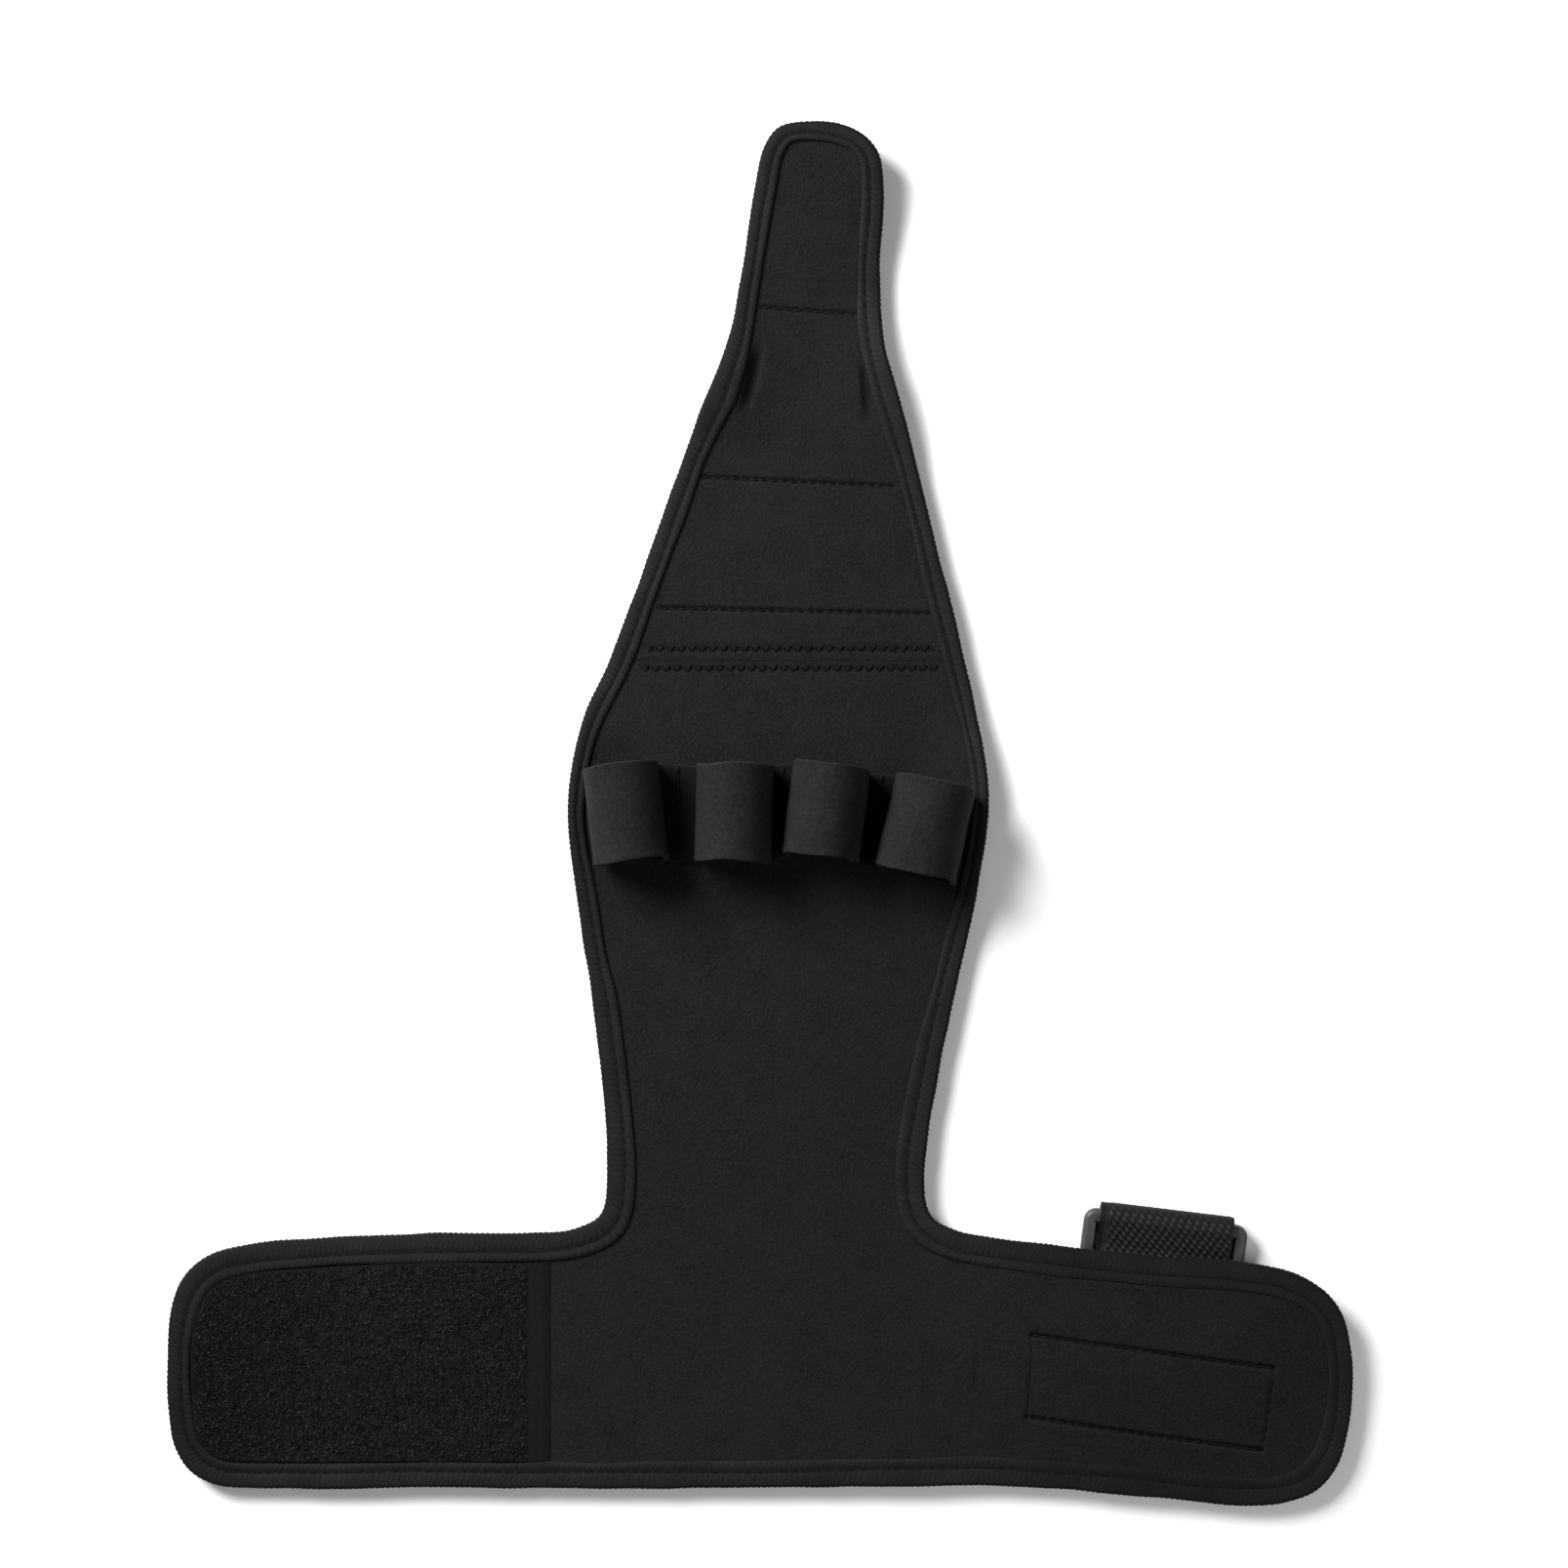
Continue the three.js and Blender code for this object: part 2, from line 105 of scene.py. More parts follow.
# How far the tape reaches in from the edge: y, on the left side, on the right side
TAPE_WIDTHS = [
    (-166, 6.8, 7.2), (-150, 6.0, 6.6), (-130, 5.7, 6.4), (-112, 6.9, 7.0), (-100, 7.1, 7.2),
    (-60, 6.6, 6.6), (-24, 4.9, 4.9), (0, 4.0, 4.0), (24, 4.7, 4.6), (48, 5.4, 5.3),
    (88, 5.4, 5.3), (103, 7.2, 6.6), (118, 5.4, 5.9), (135, 4.8, 5.6), (170, 5.0, 5.2),
]
RIPPLE = 0.5  # most that soft waves lift the lying cloth

# Finger loops from left to right: x and y of the middle of each open end on the panel, the one
# towards the tongue and the one towards the wings, then outer width and height
FINGER_LOOPS = [
    (-34.2, 12.8, -31.3, -12.2, 18.5, 15.6),
    (-6.1, 12.8, -6.6, -11.4, 18.9, 17.2),
    (17.6, 12.5, 14.6, -11.0, 18.9, 17.6),
    (43.1, 9.0, 37.5, -15.2, 20.0, 17.4),
]
LOOP_LEAN = 0.07  # towards the tongue, for each millimetre of height
LOOP_WAIST = 0.38  # height at which a loop is widest, as a share of its height
STRIP = 1.6  # thickness of the loops' laminate
# How much the cut cloth falls short of the loops' solids: towards the tongue, towards the wings
LOOP_TRIMS = [(1.2, 0.2), (1.2, -0.9), (1.0, 0.0), (1.6, 0.1)]

# Ring and webbing, in a frame of their own at the right wing's upper edge
RING_SEAT = (98.6, -108.1)
RING_TURN = radians(-6.9)
RING_WIDTH = 40.4
RING_DEPTH = 19.9
RING_BAR = 3.7
RING_THICKNESS = 3.0
RING_CORNERS = [(RING_WIDTH / 2, 3.0, 6), (RING_WIDTH / 2 - RING_BAR, 0.5, 4)]  # reach, radius, steps
RING_RIM = 1.28  # radius of its rounded rims
HELD_BAR = (7.65, 3.25)  # out from the wing's edge and up
FAR_BAR_HEIGHT = 1.55
WEBBING_WIDTH = 32.8
WEBBING_THICKNESS = 1.0
WEBBING_TAIL = 5.6
WEBBING_LAYERS = (2.55, 3.65)  # heights of the two layers that are sewn under the wing
WEBBING_WRAP = radians(121)  # how far it follows the bar to either side
WEBBING_SLACK = 0.55  # how loose it is over the bar

# Fastener tapes on the outer face: middle, size, turn; and the lines that bound the tongue's tapes
WING_HOOK = (95, -141.8, 64, 24.5, radians(-8.1))
TIP_HOOK_START = (12, 123.5, radians(-4.7))
TONGUE_LOOP_FROM = (8, 50.0, radians(-1.4))
TONGUE_LOOP_TO = (8, 81.8, radians(-3.1))
LOOP_PATCH_END = -51.5
PILE_END = -56.9
TONGUE_SEAM = 37.5

# Lines of lockstitch through the panel: x, y to x, y, and how hard they pull it in
SEAM_LINES = [
    (0.6, 124.2, 25.3, 122.3, 0.8),
    (-14.3, 82.7, 32.5, 80.3, 0.8),
    (-24.6, 50.5, 41.4, 49.1, 0.8),
    (66.4, -127.2, 125.6, -135.4, 1.0),
    (125.6, -135.4, 122.9, -155.8, 0.25),
    (122.9, -155.8, 65.2, -147.6, 1.0),
    (65.2, -147.6, 66.4, -127.2, 0.2),
]
SEAM_DEPTH = 0.85
SEAM_HALF = 0.95
SEAM_PITCH = 2.4
PUCKER = 0.22  # how much a seam's depth varies from stitch to stitch
# Rows of zigzag stitches on either side of the tongue's seam
ZIGZAG_ROWS = [(-27.5, 40.7, 42.6, 40.7), (-28.6, 35.9, 43.4, 35.9)]
ZIGZAG_PITCH = 2.6
ZIGZAG_SWING = 0.95
ZIGZAG_DEPTH = 0.28
ZIGZAG_HALF = 1.6
# Creases pressed into the laminate: x, y to x, y, depth, half width
CREASES = [
    (0.2, 116.5, -4.4, 96.5, 1.3, 2.2),
    (25.0, 113.0, 26.7, 94.5, 0.9, 1.8),
    (53.4, -127.0, 52.6, -144.0, 0.18, 1.2),
    (52.6, -144.0, 51.5, -155.0, 0.14, 1.2),
]
TACKS = [(87.7, -111.7), (98.5, -112.2), (115.8, -114.8)]  # hold the webbing under the wing
UNSTITCHED = 1e9  # pitch of a groove with no stitches


# Shapes of the lying cloth

def ease_out(t):
    """Falls smoothly from 1 at t = 0 to 0 at t = 1."""
    return 0.5 * (1 + np.cos(pi * np.clip(t, 0, 1)))


def rise_to(x, width):
    """Rises evenly from 0 at x = 0 to 1 at the width."""
    return np.clip(x / width, 0, 1)


def distances(points):
    """How far each point of an open line is along it."""
    return np.concatenate([[0], np.cumsum(np.linalg.norm(np.diff(points, axis=0), axis=1))])


def unit(vectors):
    return vectors / np.linalg.norm(vectors, axis=-1, keepdims=True)


def noise(x, y, wave, seed):
    """Smooth noise from -1 to 1, with bumps about wave mm apart."""
    cells = 61
    grid = np.random.default_rng(seed).uniform(-1, 1, (cells, cells))
    u, v = np.asarray(x) / wave, np.asarray(y) / wave
    i, j = np.floor(u).astype(int), np.floor(v).astype(int)
    s, t = u - i, v - j
    s, t = s * s * (3 - 2 * s), t * t * (3 - 2 * t)
    near = grid[i % cells, j % cells] * (1 - s) + grid[(i + 1) % cells, j % cells] * s
    far = grid[i % cells, (j + 1) % cells] * (1 - s) + grid[(i + 1) % cells, (j + 1) % cells] * s
    return near * (1 - t) + far * t


def wander(count, waves, seed):
    """Smooth noise from -1 to 1 round a closed edge of count stations."""
    values = np.random.default_rng(seed).uniform(-1, 1, waves)
    place = np.arange(count) * waves / count
    low = np.floor(place).astype(int)
    t = ease_out(1 - (place - low))
    return values[low % waves] * (1 - t) + values[(low + 1) % waves] * t


def lie(x, y):
    """How high the lying cloth is above the surface."""
    lifted = sum(
        height * ease_out((np.hypot(x - cx, y - cy) - flat) / reach)
        for cx, cy, flat, reach, height in LIFTS
    )
    waves = 0.7 * noise(x, y, 31, 3) + 0.3 * noise(x, y, 12, 4)
    return lifted + RIPPLE * (1 + waves) / 2


def tape_width(x, y):
    levels, left, right = np.array(TAPE_WIDTHS).T
    to_right = rise_to(x - 4, 20)
    return np.interp(y, levels, left) * (1 - to_right) + np.interp(y, levels, right) * to_right


def groove(x, y, line, depth, half, pitch):
    """Depth of a groove along a line, puckered at the stitches' pitch."""
    x0, y0, x1, y1 = line
    length = hypot(x1 - x0, y1 - y0)
    ux, uy = (x1 - x0) / length, (y1 - y0) / length
    along = np.clip((x - x0) * ux + (y - y0) * uy, 0, length)
    away = np.hypot(x - x0 - along * ux, y - y0 - along * uy)
    pucker = 1 - PUCKER * np.cos(2 * pi * along / pitch)
    return depth * pucker * ease_out(away / half)


def dips(x, y):
    """Depth of the seams and creases in the panels' inner face."""
    deep = np.zeros(np.shape(x))
    for *line, pull in SEAM_LINES:
        deep += groove(x, y, line, SEAM_DEPTH * pull, SEAM_HALF, SEAM_PITCH)
    for line in ZIGZAG_ROWS:
        deep += groove(x, y, line, ZIGZAG_DEPTH, ZIGZAG_HALF, ZIGZAG_PITCH)
    for *line, depth, half in CREASES:
        x0, y0, x1, y1 = line
        length = hypot(x1 - x0, y1 - y0)
        along = ((x - x0) * (x1 - x0) + (y - y0) * (y1 - y0)) / length ** 2
        taper = 1 - ease_out(np.minimum(along, 1 - along) / 0.35)
        deep += groove(x, y, line, depth, half, UNSTITCHED) / (1 - PUCKER) * taper
    for tack_x, tack_y in TACKS:
        deep += 0.5 * ease_out(np.hypot(x - tack_x, y - tack_y) / 2.2)
    return deep


def inner_face(x, y):
    return PANEL_TOP + lie(x, y) - dips(x, y)


# The outline

def closed_curve(points):
    """A centripetal Catmull-Rom curve through the points, in fine steps."""
    points = np.array(points, float)
    steps = np.arange(24)[:, None] / 24
    runs = []
    for i in range(len(points)):
        p0, p1, p2, p3 = (points[(i + k) % len(points)] for k in (-1, 0, 1, 2))
        d0, d1, d2 = (np.linalg.norm(b - a) ** 0.5 for a, b in ((p0, p1), (p1, p2), (p2, p3)))
        t1 = ((p1 - p0) / d0 - (p2 - p0) / (d0 + d1) + (p2 - p1) / d1) * d1
        t2 = ((p2 - p1) / d1 - (p3 - p1) / (d1 + d2) + (p3 - p2) / d2) * d1
        cubic = 2 * p1 - 2 * p2 + t1 + t2
        square = 3 * p2 - 3 * p1 - 2 * t1 - t2
        runs.append(p1 + t1 * steps + square * steps ** 2 + cubic * steps ** 3)
    return np.vstack(runs)


def evenly(ring, count):
    """A closed ring of points, evenly spaced again."""
    closed = np.vstack([ring, ring[:1]])
    walked = distances(closed)
    at = np.arange(count) * walked[-1] / count
    return np.stack([np.interp(at, walked, closed[:, k]) for k in (0, 1)], 1)


def inward_of(ring, spread):
    """Unit vectors to the left of a counter-clockwise ring, averaged over a spread of its edge."""
    along = np.roll(ring, -1, 0) - np.roll(ring, 1, 0)
    step = np.linalg.norm(along, axis=1).mean() / 2
    along = unit(along)
    turned = np.stack([-along[:, 1], along[:, 0]], 1)
    reach = int(spread / step)
    shares = [1 - abs(k) / (reach + 1) for k in range(-reach, reach + 1)]
    return unit(sum(share * np.roll(turned, k - reach, 0) for k, share in enumerate(shares)))


right_side = [(right, y) for y, left, right in HAND_SECTIONS]
left_side = [(left, y) for y, left, right in reversed(HAND_SECTIONS)]
OUTLINE = closed_curve(RIGHT_WING + right_side + TONGUE_TIP + left_side + LEFT_WING)
PERIMETER = float(np.linalg.norm(OUTLINE - np.roll(OUTLINE, 1, 0), axis=1).sum())
COARSE = evenly(OUTLINE, round(PERIMETER / 1.2))
COARSE_IN = inward_of(COARSE, TURN_SPREAD)


def inset_ring(inset):
    """The outline moved in by one distance, or by one for each of its points."""
    return COARSE + COARSE_IN * (inset if np.isscalar(inset) else inset[:, None])


def clip_ring(ring, x, y, turn, side):
    """Cuts a ring at a line through x, y and keeps what lies above it (side 1) or below (-1)."""
    normal = np.array([-sin(turn), cos(turn)]) * side
    height = (ring - (x, y)) @ normal
    kept = []
    for i in range(len(ring)):
        a, b = ring[i], ring[(i + 1) % len(ring)]
        ha, hb = height[i], height[(i + 1) % len(ring)]
        if ha >= 0:
            kept.append(a)
        if (ha >= 0) != (hb >= 0):
            kept.append(a + (b - a) * ha / (ha - hb))
    return np.array(kept)


def with_steps(ring, spacing):
    """The ring with its long edges divided."""
    points = []
    for a, b in zip(ring, np.roll(ring, -1, 0)):
        steps = max(1, round(np.linalg.norm(b - a) / spacing))
        points.extend(a + (b - a) * k / steps for k in range(steps))
    return np.array(points)


def rectangle(x, y, length, width, turn):
    corners = np.array([(-1, -1), (1, -1), (1, 1), (-1, 1)]) * (length / 2, width / 2)
    rotate = np.array([(cos(turn), sin(turn)), (-sin(turn), cos(turn))])
    return corners @ rotate + (x, y)


def inside(points, ring, margin):
    """Which points lie in the ring and over margin from its edge."""
    a, b = ring, np.roll(ring, -1, 0)
    run = b - a
    answers = []
    for part in np.array_split(points, len(points) // 1500 + 1):
        px, py = part[:, :1], part[:, 1:]
        rel_x, rel_y = px - a[:, 0], py - a[:, 1]
        t = np.clip((rel_x * run[:, 0] + rel_y * run[:, 1]) / (run ** 2).sum(1), 0, 1)
        away = np.hypot(rel_x - t * run[:, 0], rel_y - t * run[:, 1]).min(1)
        spans = (a[:, 1] > py) != (b[:, 1] > py)
        rise = np.where(run[:, 1] == 0, 1, run[:, 1])
        crosses = spans & (px < run[:, 0] * rel_y / rise + a[:, 0])
        answers.append((crosses.sum(1) % 2 == 1) & (away > margin))
    return np.concatenate(answers)


def staggered(low, high, spacing):
    """Points of a triangular grid over a box."""
    rows = np.arange(low[1], high[1], spacing * 0.866)
    columns = np.arange(low[0], high[0], spacing)
    x, y = np.meshgrid(columns, rows)
    x = x + spacing / 2 * (np.arange(len(rows))[:, None] % 2)
    return np.stack([x.ravel(), y.ravel()], 1)


# Meshes

def build(name, corners, faces, smooth=50, **attributes):
    """A mesh object from points in millimetres, its faces outwards and its place in its mesh."""
    mesh = bpy.data.meshes.new(name)
    mesh.from_pydata((np.asarray(corners) * MM).tolist(), [], [list(face) for face in faces])
    shell = bmesh.new()
    shell.from_mesh(mesh)
    if shell.calc_volume(signed=True) < 0:
        bmesh.ops.reverse_faces(shell, faces=shell.faces)
        shell.to_mesh(mesh)
    shell.free()
    mesh.shade_smooth()
    mesh.set_sharp_from_angle(angle=radians(smooth))
    for key, values in attributes.items():
        kind = 'FLOAT' if np.ndim(values) == 1 else 'FLOAT_VECTOR'
        layer = mesh.attributes.new(key, kind, 'POINT')
        layer.data.foreach_set('value' if kind == 'FLOAT' else 'vector', np.ravel(values))
    made = bpy.data.objects.new(name, mesh)
    bpy.context.scene.collection.objects.link(made)
    return made


def quad_grid(index):
    """Faces between the neighbours in a grid of point numbers."""
    corners = [index[:-1, :-1], index[1:, :-1], index[1:, 1:], index[:-1, 1:]]
    return np.stack(corners, -1).reshape(-1, 4)


def slab(upper, lower):
    """Points and faces of a closed slab between two grids of points."""
    rows, columns = upper.shape[:2]
    top = np.arange(rows * columns).reshape(rows, columns)
    low = top + rows * columns
    faces = [
        quad_grid(top),
        quad_grid(low)[:, ::-1],
        quad_grid(np.stack([low[:, 0], top[:, 0]], 1)),
        quad_grid(np.stack([top[:, -1], low[:, -1]], 1)),
        quad_grid(np.stack([top[0], low[0]], 1)),
        quad_grid(np.stack([low[-1], top[-1]], 1)),
    ]
    return np.vstack([upper.reshape(-1, 3), lower.reshape(-1, 3)]), np.vstack(faces)


def cut_cloth(ring, spacing, top_of, bottom_of, fine_lines=(), fine=0.5):
    """Points and faces of a closed sheet over a ring, finer along some lines."""
    low, high = ring.min(0), ring.max(0)
    fill = staggered(low, high, spacing)
    if len(fine_lines):
        dense = staggered(low, high, fine)
        near_fill = np.zeros(len(fill), bool)
        near_dense = np.zeros(len(dense), bool)
        for line in fine_lines:
            near_fill |= groove(*fill.T, line, 1, 2.2, UNSTITCHED) > 0
            near_dense |= groove(*dense.T, line, 1, 2.0, UNSTITCHED) > 0
        fill = np.vstack([fill[~near_fill], dense[near_dense]])
    fill = fill[inside(fill, ring, 0.45 * spacing)]
    places = [Vector(spot) for spot in np.vstack([ring, fill])]
    edges = [(i, (i + 1) % len(ring)) for i in range(len(ring))]
    found, _, triangles, *_ = delaunay_2d_cdt(places, edges, [], 1, 1e-5)
    x, y = np.array([tuple(spot) for spot in found]).T
    triangles = np.array(triangles)
    a, b, c = (np.stack([x, y], 1)[triangles[:, k]] for k in range(3))
    (ab_x, ab_y), (ac_x, ac_y) = (b - a).T, (c - a).T
    clockwise = ab_x * ac_y < ab_y * ac_x
    triangles[clockwise] = triangles[clockwise][:, ::-1]
    corners = np.vstack([np.stack([x, y, top_of(x, y)], 1), np.stack([x, y, bottom_of(x, y)], 1)])
    size = len(x)
    walked = np.vstack([triangles[:, [0, 1]], triangles[:, [1, 2]], triangles[:, [2, 0]]])
    codes = walked[:, 0] * size + walked[:, 1]
    rim = walked[~np.isin(codes, walked[:, 1] * size + walked[:, 0])]
    walls = np.stack([rim[:, 0] + size, rim[:, 1] + size, rim[:, 1], rim[:, 0]], 1)
    faces = triangles.tolist() + (triangles[:, ::-1] + size).tolist() + walls.tolist()
    return corners, faces


def tubes(paths, radii, across, sides):
    """Points and faces of thin closed tubes: paths (k, n, 3), n radii, k directions across."""
    along = unit(np.gradient(paths, axis=1))
    flat = np.repeat(across[:, None], paths.shape[1], 1)
    up = unit(np.cross(flat, along))
    turn = 2 * pi * np.arange(sides)[:, None] / sides
    section = np.cos(turn) * flat[:, :, None] + np.sin(turn) * up[:, :, None]
    corners = paths[:, :, None] + np.asarray(radii)[:, None, None] * section
    index = np.arange(corners.size // 3).reshape(corners.shape[:3])
    here, ahead = index[:, :-1], index[:, 1:]
    sides_of = np.stack([here, ahead, np.roll(ahead, -1, 2), np.roll(here, -1, 2)], -1)
    faces = sides_of.reshape(-1, 4).tolist() + index[:, 0].tolist() + index[:, -1, ::-1].tolist()
    return corners.reshape(-1, 3), faces


def thread(starts, ends, radius, arch, across=None):
    """Stitches as short arched threads from starts to ends."""
    steps = np.array([0, 0.12, 0.5, 0.88, 1])
    run = ends - starts
    across = unit(np.cross(run, (0, 0, 1))) if across is None else across
    up = unit(np.cross(across, run))
    rise = arch * np.sin(pi * steps)[:, None]
    paths = starts[:, None] + run[:, None] * steps[:, None] + up[:, None] * rise
    return tubes(paths, radius * np.array([0.55, 0.95, 1, 0.95, 0.55]), across, 6)


def join(*parts):
    """Several sets of points and faces as one."""
    corners, faces, start = [], [], 0
    for points, polygons in parts:
        corners.append(points)
        faces.extend([index + start for index in polygon] for polygon in polygons)
        start += len(points)
    return np.vstack(corners), faces


# Materials. Every pattern's coordinates are the piece's own place in millimetres.

def colour(code):
    """A hex sRGB colour as linear."""
    linear = []
    for k in (1, 3, 5):
        part = int(code[k:k + 2], 16) / 255
        linear.append(part / 12.92 if part <= 0.04045 else ((part + 0.055) / 1.055) ** 2.4)
    return [*linear, 1]


def add(tree, kind, links=None, **settings):
    """Adds a shader node. Its inputs get sockets, plain values, or nodes for their first output."""
    made = tree.nodes.new('ShaderNode' + kind)
    for key, value in settings.items():
        setattr(made, key, value)
    for key, value in (links or {}).items():
        if isinstance(value, bpy.types.Node):
            value = value.outputs[0]
        if isinstance(value, bpy.types.NodeSocket):
            tree.links.new(value, made.inputs[key])
        else:
            made.inputs[key].default_value = value
    return made


def start_material(name):
    """A new material with its tree and its coordinates in millimetres."""
    made = bpy.data.materials.new(name)
    made.use_nodes = True
    tree = made.node_tree
    tree.nodes.clear()
    place = add(tree, 'TexCoord').outputs['Object']
    scaled = add(tree, 'VectorMath', {0: place, 'Scale': 1 / MM}, operation='SCALE')
    return made, tree, scaled


def end_material(tree, base, height, depth, **inputs):
    """Bump of a depth in millimetres, the surface and the output. The base is a colour, or a
    factor and the two colours that it mixes."""
    if isinstance(base, tuple):
        base = add(tree, 'Mix', dict(zip((0, 6, 7), base)), data_type='RGBA').outputs[2]
    bump = add(tree, 'Bump', {'Height': height, 'Distance': depth * MM, 'Strength': 1.0})
    sockets = {'Base Color': base, 'Normal': bump}
    sockets.update({key.replace('_', ' '): value for key, value in inputs.items()})
    surface = add(tree, 'BsdfPrincipled', sockets)
    add(tree, 'OutputMaterial', {'Surface': surface})


def neoprene_knit():
    """Neoprene laminate with a brushed nylon knit face: matt, finely grained, softly blotched, with
    painted shade in its seams and creases.
    """
    made, tree, place = start_material('neoprene_nylon_knit')
    # Knit loops about 0.75 mm apart under a finer nap
    knit = add(tree, 'TexVoronoi', {'Vector': place, 'Scale': 1 / 0.75})
    nap = add(tree, 'TexNoise', {'Vector': place, 'Scale': 1 / 0.4, 'Detail': 3.0})
    grain = add(tree, 'Math', {0: nap, 1: knit}, operation='SUBTRACT')
    # Blotches where the nap is rubbed, 7 mm across
    rubbed_and_shaded = add(tree, 'TexNoise', {'Vector': place, 'Scale': 1 / 7, 'Detail': 4.0})
    patchy = add(tree, 'MapRange', {0: rubbed_and_shaded, 1: 0.3, 2: 0.7})
    body = add(tree, 'Mix', {0: patchy, 6: colour('#10110f'), 7: colour('#151614')}, data_type='RGBA')
    flecks = add(tree, 'MapRange', {0: grain, 1: -0.2, 2: 0.55})
    face = add(tree, 'Mix', {0: flecks, 6: body.outputs[2], 7: colour('#1b1c1a')}, data_type='RGBA')
    # Painted shade: the knit is darkened by how deep the seams and creases press into it
    pressed = add(tree, 'Attribute', attribute_name='pressed').outputs['Fac']
    end_material(tree, (pressed, face.outputs[2], colour('#0a0b0a')), grain, 0.12,
                 Roughness=0.9, Specular_IOR_Level=0.06, Sheen_Weight=0.01)
    return made


def loop_strip_knit():
    """The finger loops' smoother laminate: a close charcoal face, paler foam at its cut edges, and
    painted shade low in the valleys between the loops.
    """
    made, tree, place = start_material('finger_loop_laminate')
    # A close knit of 0.45 mm, drawn as mottling 0.8 mm across so that it shows
    nap = add(tree, 'TexNoise', {'Vector': place, 'Scale': 1 / 0.8, 'Detail': 3.0})
    rubbed_and_shaded = add(tree, 'TexNoise', {'Vector': place, 'Scale': 1 / 8, 'Detail': 2.0})
    faint = add(tree, 'Math', {0: rubbed_and_shaded, 1: 0.35}, operation='MULTIPLY')
    mixed = add(tree, 'Math', {0: nap, 1: faint}, operation='ADD')
    shade = add(tree, 'MapRange', {0: mixed, 1: 0.42, 2: 0.93})
    body = add(tree, 'Mix', {0: shade, 6: colour('#101110'), 7: colour('#1e1f1c')}, data_type='RGBA')
    # Painted shade: the knit is darkened low down, in the valleys between the loops
    fold = add(tree, 'Attribute', attribute_name='fold').outputs['Fac']
    worn_and_shaded = add(tree, 'Mix', {0: fold, 6: body.outputs[2], 7: colour('#0b0c0b')}, data_type='RGBA')
    cut = add(tree, 'Attribute', attribute_name='cut_edge').outputs['Fac']
    end_material(tree, (cut, worn_and_shaded.outputs[2], colour('#2e312f')), nap, 0.06,
                 Roughness=0.85, Specular_IOR_Level=0.06, Sheen_Weight=0.01)
    return made


def binding_tape():
    """Elastic polyester tape with ribs, slightly shiny, with painted highlights on the ribs' crests and
    painted shade in their valleys, in the sewn groove, at the rim and at the inner edge.
    """
    made, tree, place = start_material('elastic_binding_tape')
    yarn = add(tree, 'TexNoise', {'Vector': place, 'Scale': 1 / 0.35, 'Detail': 2.0})
    worn_and_shaded = add(tree, 'TexNoise', {'Vector': place, 'Scale': 1 / 9, 'Detail': 3.0})
    # Painted light and shade from the section's tone and the ribs, varied by random wear blotches
    rib = add(tree, 'Attribute', attribute_name='rib')
    mixed = add(tree, 'Math', {0: rib.outputs['Fac'], 1: worn_and_shaded}, operation='MULTIPLY')
    shade = add(tree, 'MapRange', {0: mixed, 1: 0.0, 2: 0.6})
    end_material(tree, (shade, colour('#0b0c0a'), colour('#1d1e1c')), yarn, 0.08,
                 Roughness=0.7, Specular_IOR_Level=0.08, Sheen_Weight=0.01)
    return made


def loop_pile():
    """Napped nylon loop pile: tangled glossy filaments over a dark ground."""
    made, tree, place = start_material('nylon_loop_pile')
    tangle = add(tree, 'TexNoise', {'Vector': place, 'Scale': 1 / 0.4, 'Detail': 3.0, 'Distortion': 1.0})
    tone = add(tree, 'Attribute', attribute_name='tone')
    # Few filaments are light, most are dark
    light = add(tree, 'Math', {0: tone.outputs['Fac'], 1: 3.2}, operation='POWER')
    ground = add(tree, 'MapRange', {0: tangle, 1: 0.35, 2: 0.75, 3: 0.0, 4: 0.1})
    shade = add(tree, 'Math', {0: light, 1: ground}, operation='ADD')
    end_material(tree, (shade, colour('#080807'), colour('#393a36')), tangle, 0.1,
                 Roughness=0.6, Specular_IOR_Level=0.08)
    return made


def hook_tape():
    """Moulded and woven nylon hook tape: hard little hooks on a plain ground."""
    made, tree, place = start_material('nylon_hook_tape')
    ground = add(tree, 'TexNoise', {'Vector': place, 'Scale': 1 / 0.5, 'Detail': 2.0})
    shade = add(tree, 'MapRange', {0: ground, 1: 0.3, 2: 0.7})
    end_material(tree, (shade, colour('#0e0f0f'), colour('#191a19')), ground, 0.05,
                 Roughness=0.5, Specular_IOR_Level=0.35)
    return made


def woven_webbing():
    """Polypropylene webbing: woven diamonds, with painted highlights on the raised yarns and painted
    shade over the bar and along the left edge.
    """
    made, tree, place = start_material('polypropylene_webbing')
    # Painted highlights and shade carried by the mesh, broken up by the yarn
    weave = add(tree, 'Attribute', attribute_name='weave')
    yarn = add(tree, 'TexNoise', {'Vector': place, 'Scale': 1 / 0.3, 'Detail': 2.0})
    mixed = add(tree, 'Math', {0: weave.outputs['Fac'], 1: yarn}, operation='MULTIPLY')
    shade = add(tree, 'MapRange', {0: mixed, 1: 0.04, 2: 0.6})
    end_material(tree, (shade, colour('#0a0b0a'), colour('#2c2d2a')), yarn, 0.06,
                 Roughness=0.55, Specular_IOR_Level=0.15)
    return made


def moulded_acetal():
    """Injection-moulded acetal: dark grey, low gloss, with faint handling marks."""
    made, tree, place = start_material('moulded_acetal')
    skin = add(tree, 'TexNoise', {'Vector': place, 'Scale': 1 / 0.25, 'Detail': 2.0})
    marks = add(tree, 'TexNoise', {'Vector': place, 'Scale': 1 / 4, 'Detail': 5.0})
    gloss = add(tree, 'MapRange', {0: marks, 1: 0.3, 2: 0.7, 3: 0.42, 4: 0.55})
    end_material(tree, (marks, colour('#282a28'), colour('#343633')), skin, 0.01,
                 Roughness=gloss, IOR=1.48)
    return made


